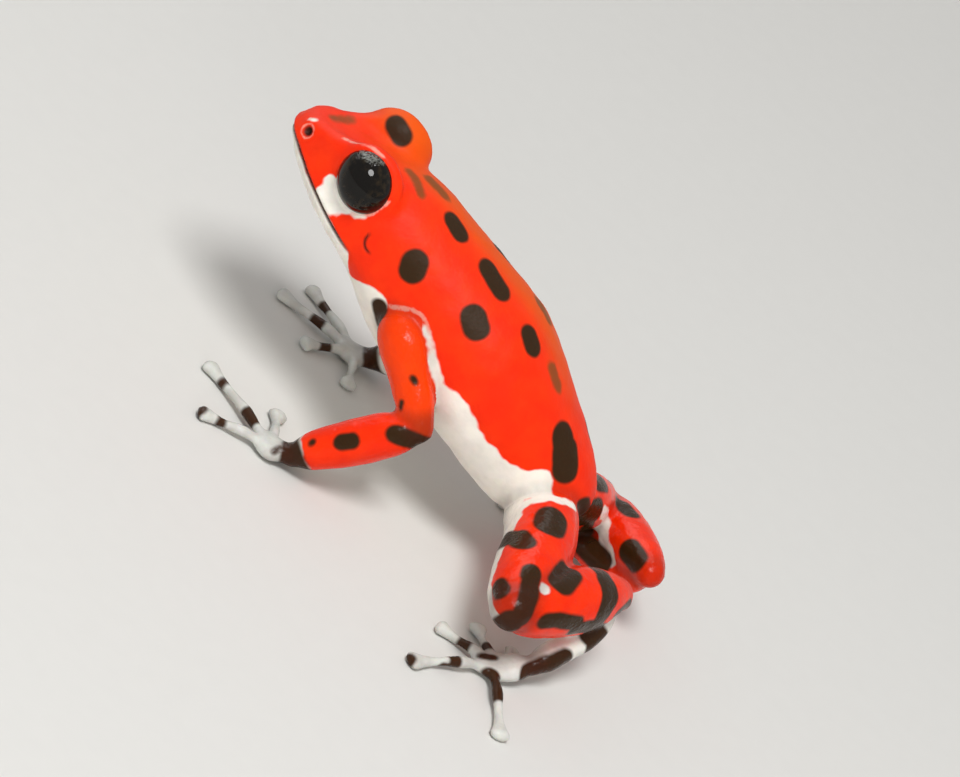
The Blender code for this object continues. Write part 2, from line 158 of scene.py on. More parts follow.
# Limbs: joints as points, then half widths from root to tip
BOW_AT = (0.35, 0.7)
STRAIGHT = (0.0, 0.0, 0.0)
UPRIGHT = (0.0, 0.0, 1.0)
ACROSS = (1.0, 0.0, 0.2)
ARM_JOINTS = {
    "left": ((1.9, 0.9, 7.2), (3.1, 1.45, 7.05), (4.6, 4.40, 4.95), (5.5, 1.10, 0.72)),
    "right": ((-1.9, 0.9, 7.2), (-3.1, 1.45, 7.05), (-5.2, 4.4, 4.6), (-5.7, 0.95, 0.75)),
}
UPPER_ARM_SIZES = (1.10, 1.06, 0.86, 0.84)
FOREARM_SIZES = (0.84, 0.98, 0.92, 0.70)
LEG_JOINTS = {
    "left": ((0.9, 10.25, 3.95), (9.15, 12.0, 3.65), (2.6, 15.0, 3.64), (6.9, 14.2, 0.95)),
    "right": ((-0.9, 10.25, 3.65), (-7.3, 12.45, 1.45), (-1.6, 15.7, 3.3), (-4.0, 12.9, 0.82)),
}
THIGH_BOW = (0.0, 0.35, 0.15)
THIGH_SIZES = {"left": (1.60, 1.54, 1.46, 1.16), "right": (1.50, 1.40, 1.22, 0.98)}
SHANK_SIZES = {"left": (1.14, 1.42, 1.40, 0.92), "right": (0.96, 1.16, 1.12, 0.84)}
TARSUS_BOW = (0.0, 0.42, -0.42)
TARSUS_SIZES = (0.74, 0.66, 0.60, 0.64)
LIMB_RINGS = 48
LIMB_SIDES = 48
CAP_RINGS = 9
SMALLEST_RING = 0.02
POLE_SPREAD = 1e-4

# Digits: where each disc lies on the floor, from the innermost digit to the outermost
DIGIT_HALF_HEIGHT = 0.27
DIGIT_SIZES = (
    (0.34, 0.32), (0.23, 0.24), (0.26, 0.26), (0.20, 0.21), (0.21, 0.22), (0.47, DIGIT_HALF_HEIGHT),
)
DIGIT_RINGS = 28
DIGIT_SIDES = 28
DISC_LENGTH = 0.68
KNUCKLE_HEIGHT = 0.46
FLOOR_BITE = 0.03
PALM = {"left": (5.70, 0.10, 0.40), "right": (-5.5, 0.2, 0.40)}
PALM_SIZES = ((0.66, 0.66), (0.67, 0.53), (0.74, 0.42), (0.59, 0.38))
FINGER_TIPS = {
    "left": ((3.3, 1.7), (2.8, -0.5), (3.2, -3.95), (6.7, -2.85)),
    "right": ((-3.4, 0.8), (-3.8, -1.7), (-5.95, -3.85), (-8.0, -3.0)),
}
SOLE = {"left": (8.1, 12.9, 0.36), "right": (-4.9, 11.6, 0.36)}
SOLE_SIZES = ((0.61, 0.61), (0.72, 0.48), (0.80, 0.38), (0.64, 0.34))
TOE_TIPS = {
    "left": ((5.9, 13.3), (6.1, 11.5), (8.0, 10.3), (11.6, 10.2), (11.8, 14.8)),
    "right": ((-3.6, 10.5), (-4.0, 9.1), (-5.2, 7.5), (-7.7, 6.9), (-8.7, 9.8)),
}

# Skin: folds where limbs meet and the painted shade in them, joints that are evened out, small lumps,
# and the reach of finer faces
FOLD_REACH = (0.2, 0.6)
FOLD_WIDTH = 0.16
FOLD_DEPTH = 0.16
FOLD_SHADE = 0.55
JOINT_WIDTH = 0.40
JOINT_WEIGHT = 0.6
JOINT_REACH = 0.53
DIGIT_JOINT_SHARE = 0.3
BROW_JOINT_WIDTH = 0.50
ALL_OVER_ROUNDS = 2
SOFTEN_WEIGHT = 0.5
SOFTEN_REACH = 0.40
PALE_ROUNDS = 3
LUMP_HEIGHT = 0.022
LUMP_SWAY = 0.6
LUMP_WAVES = ((5.1, 2.3, 1.7), (-2.9, 4.7, 2.2), (1.3, -3.1, 5.3), (3.7, 3.1, -4.1))
FINE_REACH = 0.30

# How grey the paws are. Then painted light in orange: sheen on the upper arms, and shade along the
# back's ridge, which grows with the height over the body's line and towards the right side, the side
# turned from the lights
PAW_GREY = {"hand": 1.0, "foot": 0.9, "tarsus": 0.4}
ARM_SHEEN_ORANGE = 0.35
RIDGE_SHADE_HEIGHT = (1.2, 2.9)
RIDGE_SHADE_SIDE = (-0.6, 1.2)

# Border between red back and pale belly: distance behind the snout, then height off the body's line
BELLY_BORDER = np.array((
    (0.0, -0.25), (2.0, -0.39), (4.0, -0.54), (4.6, -0.44), (5.2, -0.55), (5.9, -0.70), (6.2, -1.15),
    (6.5, -1.45), (6.8, -1.35), (7.3, -0.86), (7.7, -0.62), (8.1, -0.48), (8.5, -0.60), (8.9, -0.25),
    (9.3, 0.05), (10.0, 0.30), (10.6, 0.10), (11.2, -0.55), (12.3, -0.66), (13.0, -0.22),
    (13.7, -0.16), (14.3, -0.35), (15.2, -0.60), (16.3, -0.63), (17.4, -0.30), (18.0, 0.32),
    (18.6, 0.05), (19.2, -0.25), (19.9, -0.40), (21.0, -0.60),
))

# Black marks: each a line of points and the half width of the mark along it. Those at the vent, the
# left heel and the gap between the thighs hold painted shade
BODY_MARKS = (
    (((-1.2, -4.3, 12.2), (-1.1, -3.8, 12.0)), 0.46),
    (((0.7, 0.1, 11.3), (0.8, 0.6, 11.2)), 0.50),
    (((0.9, 2.5, 10.8), (1.1, 3.4, 10.5)), 0.54),
    (((2.8, 0.0, 9.8), (3.0, 0.1, 9.6)), 0.61),
    (((2.7, 3.3, 9.5), (2.8, 3.6, 9.3)), 0.60),
    (((1.3, 5.5, 9.8), (1.4, 5.9, 9.6)), 0.50),
    (((1.4, 9.2, 7.2), (1.6, 9.8, 6.7)), 0.66),
    (((1.5, 9.7, 6.8), (1.7, 10.1, 6.4)), 0.76),
    (((3.1, 0.0, 7.3), (3.0, 0.5, 6.7)), 0.42),
    # Partly a black blotch round the vent and partly painted shade in the deep gap between the thighs
    (((0.9, 11.8, 4.8), (0.3, 12.0, 4.2)), 0.66),
    (((-2.9, 0.9, 9.7), (-2.9, 1.2, 9.6)), 0.56),
    (((-2.9, 4.6, 8.9), (-2.9, 5.0, 8.7)), 0.58),
    (((-2.4, -1.6, 10.4), (-2.5, -1.3, 10.3)), 0.34),
    (((-1.6, 2.3, 10.7), (-1.6, 2.6, 10.6)), 0.48),
    (((-2.3, 7.8, 7.6), (-2.4, 8.3, 7.1)), 0.56),
    (((-1.5, 9.8, 6.9), (-1.6, 10.3, 6.4)), 0.48),
)
FAINT_MARKS = (
    (((0.2, -2.6, 11.7), (0.4, -2.2, 11.6), (1.0, -1.6, 11.5)), 0.24),
    (((-0.4, -1.7, 11.6), (-0.2, -0.9, 11.6)), 0.34),
    (((-1.1, 5.0, 10.1), (-1.0, 5.6, 9.8)), 0.40),
    (((0.7, 7.1, 9.0), (0.7, 7.8, 8.6)), 0.33),
    (((0.0, -6.4, 11.4), (-0.6, -5.9, 11.5)), 0.31),
)
ARM_MARKS = (
    (((4.5, 2.9, 6.5), (4.6, 3.1, 6.5)), 0.16),
    (((4.9, 3.2, 5.5), (4.9, 3.3, 5.3)), 0.13),
    (((5.7, 3.8, 4.6), (5.4, 4.6, 4.7), (4.9, 5.0, 4.6)), 0.44),
    (((6.0, 2.3, 2.9), (5.9, 2.6, 3.2)), 0.36),
    (((5.9, 1.4, 1.9), (5.9, 1.4, 2.0)), 0.16),
    (((5.5, 1.2, 0.8), (5.5, 1.3, 0.9)), 0.80),
    (((6.3, 0.4, 0.8), (5.8, 0.5, 1.2)), 0.22),
    (((-4.6, 2.7, 6.4), (-4.8, 3.0, 6.2)), 0.30),
    (((-6.2, 2.6, 2.9), (-6.3, 2.9, 3.3)), 0.38),
    (((-5.7, 1.1, 0.9), (-5.7, 1.2, 1.0)), 0.80),
)
LEG_MARKS = (
    (((4.2, 11.0, 5.4), (4.8, 11.1, 5.4)), 0.74),
    (((5.6, 10.0, 3.9), (6.0, 10.2, 4.4)), 0.50),
    (((6.1, 10.4, 4.7), (6.5, 10.7, 4.9)), 0.54),
    (((9.1, 10.9, 4.0), (9.4, 11.1, 4.1)), 0.46),
    (((8.1, 11.7, 4.9), (8.4, 11.8, 4.8)), 0.48),
    (((8.8, 12.0, 4.8), (9.5, 12.3, 4.5), (9.9, 12.5, 4.0)), 0.48),
    (((10.1, 12.3, 3.6), (10.1, 12.0, 2.8)), 0.56),
    (((6.2, 12.9, 5.0), (7.3, 12.9, 5.0)), 0.63),
    (((4.2, 13.9, 4.9), (4.5, 14.2, 4.9)), 0.54),
    (((4.7, 14.5, 4.9), (4.9, 14.8, 4.7)), 0.70),
    (((5.1, 14.9, 4.6), (5.4, 15.1, 4.3)), 0.62),
    (((5.6, 15.1, 4.1), (5.7, 15.2, 3.5)), 0.54),
    (((8.9, 13.3, 4.0), (8.3, 13.7, 4.1), (7.7, 14.1, 4.0), (7.1, 14.4, 3.9)), 0.38),
    (((7.0, 14.5, 3.6), (6.0, 15.0, 3.6)), 0.42),
    # This mark and the next are partly black marks on the left heel and tarsus and partly painted shade
    # under the shank
    (((3.0, 15.8, 3.9), (4.1, 15.7, 3.8)), 0.34),
    (((5.6, 15.4, 3.3), (4.6, 15.8, 2.9), (4.6, 15.7, 2.3)), 0.54),
    (((7.6, 14.3, 0.9), (6.8, 14.6, 1.2), (6.0, 15.0, 1.6)), 0.50),
    # Partly a black mark on the left tarsus and partly painted shade under the heel
    (((4.7, 15.2, 2.7), (4.3, 15.6, 2.4)), 0.60),
    (((9.0, 13.1, 0.4), (9.4, 13.3, 0.6), (9.8, 13.8, 0.5)), 0.48),
    (((10.0, 11.6, 0.2), (10.5, 11.3, 0.2)), 0.26),
    (((8.5, 12.2, 0.7), (8.0, 12.7, 0.8)), 0.22),
    (((-5.3, 13.0, 3.1), (-4.5, 13.6, 3.5)), 0.42),
    (((-2.0, 14.4, 3.3), (-1.5, 14.9, 3.4)), 0.58),
    # These three on the right leg are painted shade: they darken the deep gap between the thighs
    (((-1.5, 12.1, 3.6), (-2.0, 12.3, 3.6)), 0.72),
    (((-3.8, 12.8, 1.3), (-3.2, 13.3, 1.5), (-2.6, 13.9, 1.7)), 0.56),
    (((-2.2, 12.4, 2.9), (-3.0, 12.5, 2.2), (-4.2, 12.6, 1.6)), 0.36),
    (((-2.6, 11.6, 4.6), (-3.4, 11.8, 4.3)), 0.50),
    (((-5.6, 11.6, 3.2), (-6.2, 11.8, 2.9)), 0.44),
    (((-7.6, 13.0, 2.1), (-7.9, 12.4, 1.6)), 0.40),
    (((-2.8, 15.4, 1.9), (-3.4, 14.6, 1.2)), 0.40),
    (((-5.9, 14.4, 2.4), (-5.4, 14.8, 2.5)), 0.46),
    (((-4.1, 15.4, 3.0), (-3.7, 15.7, 2.6)), 0.42),
    (((-7.3, 13.4, 1.5), (-6.9, 13.6, 1.8)), 0.36),
    (((-4.7, 14.9, 1.7), (-4.2, 15.1, 1.8)), 0.30),
)

# Dark rings on digits: the paw, the digit's number, the share of its length and the ring's half width
DIGIT_RINGS_DARK = (
    ("hand_left", 2, 0.34, 0.50), ("hand_left", 2, 0.79, 0.29), ("hand_left", 3, 0.74, 0.29),
    ("hand_left", 3, 1.07, 0.38), ("hand_right", 1, 0.62, 0.34), ("hand_right", 2, 0.50, 0.40),
    ("hand_right", 3, 0.72, 0.36), ("foot_left", 2, 0.55, 0.34), ("foot_left", 3, 0.52, 0.38),
    ("foot_left", 3, 1.05, 0.30), ("foot_left", 4, 0.45, 0.44), ("foot_left", 1, 0.40, 0.32),
    ("foot_right", 2, 0.45, 0.40), ("foot_right", 3, 0.55, 0.42), ("foot_right", 4, 0.60, 0.40),
)

# Pale marks of both sides: the patch between eye and mouth, the groin, the strip behind the arm's root
# and the rim at the thigh's root. Then those of one side alone: a painted highlight before the left
# nostril, a painted glint on the left knee's fold, a fleck on the left heel, and a strip along the
# right shank
PALE_MARKS = (
    (((2.5, -4.8, 9.5), (2.7, -4.3, 9.3)), 0.32),
    (((2.4, -4.8, 10.0), (2.6, -4.3, 10.0), (2.6, -4.2, 9.9), (2.7, -4.0, 9.6)), 0.32),
    (((2.8, -4.1, 9.3), (2.7, -3.9, 9.6), (2.8, -3.6, 9.7)), 0.26),
    (((2.8, -3.6, 9.7), (2.8, -3.2, 9.8), (2.8, -2.9, 10.0)), 0.15),
    (((2.8, 9.5, 4.9), (2.7, 10.0, 5.3)), 0.40),
    (((3.4, 2.3, 7.9), (3.5, 2.7, 7.6), (3.6, 3.1, 7.2), (3.6, 3.7, 6.8)), 0.22),
    (((3.5, 9.5, 4.0), (3.5, 9.8, 4.8), (3.2, 10.2, 5.3), (2.8, 10.8, 5.5), (2.1, 11.4, 5.3)), 0.24),
)
LONE_PALE_AND_HIGHLIGHT_MARKS = (
    # Painted highlight: the wet gleam before the left nostril
    (((0.8, -7.1, 10.9), (0.9, -7.0, 11.0)), 0.19),
    # Painted highlight: a glint on the left knee's fold
    (((8.1, 12.4, 4.9), (8.3, 12.5, 4.9)), 0.26),
    (((3.6, 15.7, 3.1), (3.7, 15.7, 3.0)), 0.26),
    (((-2.8, 12.6, 3.6), (-3.4, 12.8, 3.2), (-3.9, 12.9, 2.4)), 0.28),
    (((-3.9, 12.9, 2.4), (-3.2, 13.5, 2.1), (-2.6, 14.1, 2.1)), 0.44),
)

# Painted highlights: thin pink rims of both sides along the brow, the upper lip, under the eye and over
# the arm's root. The one round each nostril is a ring, with a radius and half a width
HIGHLIGHT_RIM_MARKS = (
    (((1.5, -5.5, 11.5), (1.8, -4.9, 11.9), (2.1, -4.2, 12.3), (2.3, -3.4, 12.4)), 0.08),
    (((1.0, -7.1, 10.0), (1.4, -6.7, 9.8), (2.0, -5.9, 9.5)), 0.06),
    (((2.8, -3.3, 9.7), (2.8, -2.9, 10.0), (2.8, -2.6, 10.3), (2.7, -2.5, 10.7), (2.6, -2.4, 11.1)), 0.07),
    (((3.2, 0.3, 7.7), (3.3, 1.1, 8.3), (3.3, 1.5, 8.4), (3.4, 1.9, 8.3), (3.4, 2.3, 8.0)), 0.09),
)
NOSTRIL_HIGHLIGHT_RING = (0.32, 0.03)

# Pale sides of the limbs: where each faces at its root and at its tip, and how far round it reaches. A
# limb without one counts as PALE_ALL_OVER millimetres inside pale skin
PALE_SIDES = {
    "upper_arm": ((-0.6, -0.7, -0.3), (-0.7, -0.3, -0.5), math.radians(58)),
    "forearm": ((-0.9, 0.1, 0.2), (-0.9, 0.2, -0.3), math.radians(48)),
    "thigh": ((0.0, -0.98, -0.20), (0.0, -0.45, -0.90), math.radians(58)),
    "shank": ((0.3, -0.75, -0.60), (0.3, -0.60, -0.80), math.radians(62)),
    "shank_right": ((0.0, -0.80, -0.60), (0.0, -0.70, -0.70), math.radians(25)),
    "tarsus_right": ((0.7, -0.5, -0.5), (0.5, -0.5, -0.7), math.radians(75)),
}
PALE_ALL_OVER = 1.0

# Where along a forearm its pale wrist begins, and about how long the forearm is
WRIST_SHARE = 0.88
FOREARM_LENGTH = 5.0

# Edges of marks: the whole way that noise moves them in millimetres, the noise's scale per metre, and
# how far the edge is soft to each side in millimetres. EDGE_DETAIL is that noise's detail
MARK_EDGES = {
    "pale": (0.42, 1500.0, 0.07),
    "faint": (0.20, 2600.0, 0.14),
    "rim": (0.12, 4000.0, 0.05),
    "dark": (0.10, 1500.0, 0.09),
}
EDGE_DETAIL = 1.5

# Skin grain: the warts' scale and depth as shares of the small cells', the cells' depth, the noise's
# height and detail, and how strong all of it is on the body and on the limbs
WART_SCALE = 0.37
WART_SHARE = 0.8
CELL_DEPTH = 0.5
FINE_NOISE = 0.3
GRAIN_DETAIL = 2.0
LIMB_GRAIN = (0.6, 1.3)

# Values on the shaders' own sockets
SKIN_SHADER = {
    "Specular IOR Level": 0.15,
    "Subsurface Weight": 0.12,
    "Subsurface Radius": (1.0, 0.25, 0.08),
    "Subsurface Scale": 0.25 * MM,
}
EYE_SHADER = {"Roughness": 0.03, "Specular IOR Level": 0.22}
PAPER_SHADER = {"Roughness": 0.9}

# Noises as scale per metre and detail, and the range of each that goes from none to full
SKIN_CLOUDS = (900.0, 4.0)
SKIN_CLOUD_RANGE = (0.35, 0.65)
IRIS_CLOUDS = (4000.0, 5.0)
IRIS_CLOUD_RANGE = (0.45, 0.75)
REFLECTION_SPECKS = (9000.0, 2.0)
REFLECTION_SPECK_RANGE = (0.38, 0.62)
PAPER_CLOUDS = (900.0, 3.0)
PAPER_DARKER = 0.97
TEAR_CELLS = 7000.0

# Where an eye's iris, tear film and specks of painted reflection begin and where they are full
IRIS_FADE = (0.35, 0.7)
FILM_FADE = (0.80, 0.90)
SPECK_REFLECTION_FADE = (0.70, 0.94)

# Camera, found by matching the model's outline with the photograph's
VIEW_FROM = (0.89, 0.004, 0.455)
VIEW_UP = (-0.35, -0.633, 0.691)
VIEW_AIM = (0.0, 5.3, 5.79)
VIEW_DISTANCE = 260.0
PIXELS_PER_MM = 24.0
PHOTO_WIDTH = 960
SENSOR_WIDTH = 36.0
CLIP_START = 0.01

# The floor's half width in metres. Then the lights: the direction of each from the frog, its distance
# and width in millimetres, and whether it lights matt surfaces and shows in gloss
FLOOR_HALF = 1.5
LIGHTS = {
    "key": ((0.45, 0.0, 0.89), 300, 110, True, True),
    "fill": ((0.90, 0.30, 0.10), 400, 260, True, False),
    "sheen": ((-0.44, -0.63, 0.64), 300, 300, False, True),
}


def smooth_through(knots, values, at):
    """Values at the places in at, on a smooth cubic through the values at the knots.

    Between two knots it is the Hermite cubic whose slopes are the central differences at the knots.
    """
    knots = np.asarray(knots, float)
    values = np.asarray(values, float)
    slopes = np.gradient(values, knots, axis=0)
    index = np.clip(np.searchsorted(knots, at) - 1, 0, len(knots) - 2)
    width = knots[index + 1] - knots[index]
    t = (at - knots[index]) / width
    if values.ndim == 2:
        t, width = t[:, None], width[:, None]
    return (
        (2 * t**3 - 3 * t**2 + 1) * values[index]
        + (t**3 - 2 * t**2 + t) * width * slopes[index]
        + (3 * t**2 - 2 * t**3) * values[index + 1]
        + (t**3 - t**2) * width * slopes[index + 1]
    )


def fade(value, start, end):
    """0 before start, 1 after end, and three t squared less two t cubed between them."""
    t = np.clip((value - start) / (end - start), 0, 1)
    return t * t * (3 - 2 * t)


def hump(value, width):
    """A bell curve: one at zero, falling with the square of value over width."""
    return np.exp(-((value / width) ** 2))


def unit(vectors):
    """Vectors divided by their lengths."""
    vectors = np.asarray(vectors, float)
    return vectors / np.linalg.norm(vectors, axis=-1, keepdims=True)


def body_to_space(behind, height, side):
    """Points from distance behind the snout, height and side: a line pitched down, plus the two offsets."""
    level, rise = math.cos(BODY_PITCH), math.sin(BODY_PITCH)
    behind, height, side = np.broadcast_arrays(behind, height, side)
    along = behind * level + height * rise
    up = height * level - behind * rise
    return BODY_START + np.stack([side, along, up], axis=-1)


def body_direction(behind, height, side):
    """The unit direction with these parts along, above and beside the body's line."""
    return unit(body_to_space(behind, height, side) - BODY_START)


def space_to_body(points):
    """Distance behind the snout, height and side of points: the same turn as body_to_space, undone."""
    level, rise = math.cos(BODY_PITCH), math.sin(BODY_PITCH)
    side, along, up = np.moveaxis(points - BODY_START, -1, 0)
    return along * level - up * rise, along * rise + up * level, side


def body_section(behind):
    """Top, bottom, half width, level and boxiness of the body at distances behind the snout."""
    return smooth_through(BODY_STATIONS[:, 0], BODY_STATIONS[:, 1:], behind).T


def body_surface():
    """Head and trunk as a grid of points.

    Rings lie along the body's line at places crowded to both ends by a cosine. Each ring is a
    superellipse: the cosine and the sine of its angle, each raised to two over the boxiness and
    scaled by half the width and by the reach above or below the level.
    """
    first, last = BODY_STATIONS[0, 0], BODY_STATIONS[-1, 0]
    turn = np.linspace(0, math.pi, BODY_RINGS)
    behind = (first + last) / 2 - (last - first) / 2 * np.cos(turn)
    top, bottom, half, level, upper = (row[:, None] for row in body_section(behind))
    angle = np.linspace(0, 2 * math.pi, BODY_SIDES, endpoint=False)[None]
    across, up = np.cos(angle), np.sin(angle)
    power = np.where(up > 0, 2 / upper, 2 / LOWER_ROUNDNESS)
    across = np.sign(across) * np.abs(across) ** power
    up = np.sign(up) * np.abs(up) ** power
    reach = np.where(up > 0, top - level, level - bottom)
    return body_to_space(behind[:, None], level + reach * up, half * across)


def body_depth(points):
    """How far points are outside the body, about: the superellipse's value less one, times its radius."""
    behind, height, side = space_to_body(points)
    inside = np.clip(behind, BODY_STATIONS[0, 0], BODY_STATIONS[-1, 0])
    top, bottom, half, level, upper = body_section(inside)
    up = height - level
    reach = np.where(up > 0, top - level, level - bottom)
    power = np.where(up > 0, upper, LOWER_ROUNDNESS)
    value = (np.abs(side / half) ** power + np.abs(up / reach) ** power) ** (1 / power)
    return np.maximum((value - 1) * np.minimum(half, reach), np.abs(behind - inside))


def limb_line(path, sizes, upright=UPRIGHT, rings=LIMB_RINGS):
    """A limb's middle line: centres, directions along, across and upward, and half widths.

    The centres lie on a smooth cubic through the path, evenly spaced along it. Across is the line's
    direction crossed with upright, and upward is at right angles to both.
    """
    path = np.array(path, float)
    sizes = np.array([size if isinstance(size, tuple) else (size, size) for size in sizes])
    along = np.concatenate([[0], np.cumsum(np.linalg.norm(np.diff(path, axis=0), axis=1))])
    at = np.linspace(0, along[-1], rings)
    centres = smooth_through(along, path, at)
    widths = smooth_through(np.linspace(0, along[-1], len(sizes)), sizes, at)
    onward = unit(np.gradient(centres, axis=0))
    across = unit(np.cross(onward, upright))
    return centres, onward, across, np.cross(across, onward), widths


def limb_surface(line, sides=LIMB_SIDES):
    """A limb as a grid of points: ellipses along its line, closed by half balls at both ends.

    In a half ball the ring at an angle is pushed out by the angle's cosine and shrunk by its sine.
    """
    centres, onward, across, upward, widths = line
    turn = np.linspace(0, math.pi / 2, CAP_RINGS)[:-1]
    last = len(centres) - 1
    at = np.concatenate([np.zeros(len(turn), int), np.arange(last + 1), np.full(len(turn), last)])
    push = np.concatenate([-np.cos(turn), np.zeros(last + 1), np.cos(turn[::-1])])
    shrink = np.concatenate([np.sin(turn), np.ones(last + 1), np.sin(turn[::-1])])
    shrink = np.maximum(shrink, SMALLEST_RING)
    middle = centres[at] + onward[at] * (push * widths.min(axis=1)[at])[:, None]
    angle = np.linspace(0, 2 * math.pi, sides, endpoint=False)[None, :, None]
    sideways = np.cos(angle) * (across * widths[:, :1])[at][:, None]
    vertical = np.sin(angle) * (upward * widths[:, 1:])[at][:, None]
    return middle[:, None] + shrink[:, None, None] * (sideways + vertical)


def limb_place(points, line):
    """Where points are on a limb: how far outside it, the share of its length, and the way they face.

    Each point takes the nearest centre of the line, and its offset from there in half widths. That
    offset's length less one, times the smaller half width, is the distance. The way it faces is the
    offset without its part along the line.
    """
    centres, onward, across, upward, widths = line
    squares = (points**2).sum(1)[:, None] - 2 * points @ centres.T + (centres**2).sum(1)[None]
    nearest = squares.argmin(axis=1)
    offset = points - centres[nearest]
    smaller = widths.min(axis=1)[nearest]
    ahead = (offset * onward[nearest]).sum(1)
    parts = np.stack([
        (offset * across[nearest]).sum(1) / widths[nearest, 0],
        (offset * upward[nearest]).sum(1) / widths[nearest, 1],
        ahead / smaller,
    ], axis=1)
    distance = (np.linalg.norm(parts, axis=1) - 1) * smaller
    spacing = np.linalg.norm(centres[-1] - centres[0]) / (len(centres) - 1)
    share = np.clip((nearest + ahead / spacing) / (len(centres) - 1), 0, 1)
    facing = unit(offset - ahead[:, None] * onward[nearest] + TINY)
    return distance, share, facing, smaller


def limb_places(points, lines):
    """Where points are on every limb, by name."""
    return {name: limb_place(points, line) for name, line in lines.items()}


def between(first, last, share):
    """The place at a share of the way from the first to the last."""
    return np.array(first) + (np.array(last) - np.array(first)) * share


def bowed(first, last, bow):
    """Four points from one joint to the next.

    The second is pushed out by the bow, and the third by half of it.
    """
    bow = np.array(bow)
    near, far = (between(first, last, share) for share in BOW_AT)
    return first, near + bow, far + bow / 2, last


def digit_path(root, tip):
    """A finger's or toe's path: from its root over a knuckle to the neck of the disc and its tip."""
    tip = np.array((*tip, DIGIT_HALF_HEIGHT - FLOOR_BITE))
    neck = tip - unit(tip - root) * DISC_LENGTH
    knuckle = between(root, neck, 0.5)
    knuckle[2] = KNUCKLE_HEIGHT
    return root, knuckle, neck, tip


def paw_lines(name, joint, middle, tips, sizes):
    """The lines of a palm or sole and of its digits, by name."""
    joint, middle = np.array(joint), np.array(middle)
    forward = np.array((*np.mean(tips, axis=0), middle[2])) - middle
    front = middle + unit(forward) * sizes[-1][0]
    lines = {name: limb_line((joint, between(joint, middle, 0.5), middle, front), sizes)}
    for number, tip in enumerate(tips):
        path = digit_path(middle, tip)
        lines[f"{name}_{number}"] = limb_line(path, DIGIT_SIZES, rings=DIGIT_RINGS)
    return lines


def limb_lines():
    """The middle lines of all limbs, by name."""
    lines = {}
    for side in SIDES:
        root, shoulder, elbow, wrist = ARM_JOINTS[side]
        upper = (root, shoulder, between(shoulder, elbow, 0.5), elbow)
        lines[f"upper_arm_{side}"] = limb_line(upper, UPPER_ARM_SIZES, ACROSS)
        lines[f"forearm_{side}"] = limb_line(bowed(elbow, wrist, STRAIGHT), FOREARM_SIZES, ACROSS)
        lines |= paw_lines(f"hand_{side}", wrist, PALM[side], FINGER_TIPS[side], PALM_SIZES)
        hip, knee, heel, ball = LEG_JOINTS[side]
        lines[f"thigh_{side}"] = limb_line(bowed(hip, knee, THIGH_BOW), THIGH_SIZES[side])
        lines[f"shank_{side}"] = limb_line(bowed(knee, heel, STRAIGHT), SHANK_SIZES[side])
        lines[f"tarsus_{side}"] = limb_line(bowed(heel, ball, TARSUS_BOW), TARSUS_SIZES)
        lines |= paw_lines(f"foot_{side}", ball, SOLE[side], TOE_TIPS[side], SOLE_SIZES)
    return lines


def ball_surface(rings, sides):
    """A unit ball as a grid: rings at the sines of the height's angle, from its lower pole to its upper."""
    rise = np.linspace(-math.pi / 2, math.pi / 2, rings)[:, None]
    angle = np.linspace(0, 2 * math.pi, sides, endpoint=False)[None]
    spread = np.maximum(np.cos(rise), POLE_SPREAD)
    return np.stack([spread * np.cos(angle), spread * np.sin(angle), np.sin(rise) + 0 * angle], axis=-1)


def eye_axes(side):
    """An eye's centre, then the ways along its length, over it and out of it. side is 1 or -1."""
    behind, height, out = EYE_AT[side]
    centre = body_to_space(behind, height, side * out)
    gaze = body_direction(EYE_GAZE[0], EYE_GAZE[1], side * EYE_GAZE[2])
    along = body_direction(*EYE_LONG_AXIS)
    along = unit(along - gaze * (along @ gaze))
    return centre, along, np.cross(gaze, along), gaze


def lid_surface(side):
    """The mound of lid round an eye: a ball made longer along the body."""
    centre = eye_axes(side)[0]
    backward = body_direction(1, 0, 0)
    ball = ball_surface(LIMB_RINGS, LIMB_SIDES) * LID_RADIUS
    return centre + ball + (LID_LENGTHEN - 1) * (ball @ backward)[..., None] * backward


def brow_line(side):
    """The middle line of a brow ridge. side is 1 or -1."""
    path = [body_to_space(behind, height, side * out) for behind, height, out in BROW_RIDGE[side]]
    return limb_line(path, BROW_RIDGE_SIZES)


def brow_surface(side):
    """The ridge that runs from a nostril back to the top of the eye."""
    return limb_surface(brow_line(side))


def grid_faces(rows, columns, start):
    """Four-sided faces between neighbouring rings of a grid, and one face across each end."""
    index = start + np.arange(rows * columns).reshape(rows, columns)
    following = np.roll(index, -1, axis=1)
    quads = np.stack([index[:-1], following[:-1], following[1:], index[1:]], axis=-1).reshape(-1, 4)
    return quads.tolist() + [index[0, ::-1].tolist(), index[-1].tolist()]


def mesh_from_grids(name, grids):
    """One mesh that holds every grid as its own closed surface."""
    faces = []
    start = 0
    for grid in grids:
        faces += grid_faces(*grid.shape[:2], start)
        start += grid.shape[0] * grid.shape[1]
    mesh = bpy.data.meshes.new(name)
    mesh.from_pydata(np.concatenate([grid.reshape(-1, 3) for grid in grids]).tolist(), [], faces)
    mesh.validate()
    return mesh


def new_object(name, data):
    """An object of the scene that holds this mesh, light or camera."""
    thing = bpy.data.objects.new(name, data)
    bpy.context.scene.collection.objects.link(thing)
    return thing


def fuse(mesh, voxel):
    """Turns overlapping closed surfaces into one surface with even faces."""
    thing = new_object("unfused_skin", mesh)
    remesh = thing.modifiers.new("fuse", "REMESH")
    remesh.mode = "VOXEL"
    remesh.voxel_size = voxel
    remesh.adaptivity = 0
    graph = bpy.context.evaluated_depsgraph_get()
    fused = bpy.data.meshes.new_from_object(thing.evaluated_get(graph))
    bpy.data.objects.remove(thing)
    bpy.data.meshes.remove(mesh)
    return fused


def read_rows(items, field, width, kind=float):
    """One field of a mesh's points, normals or edges, as rows of numbers."""
    flat = np.empty(len(items) * width, kind)
    items.foreach_get(field, flat)
    return flat.reshape(-1, width)


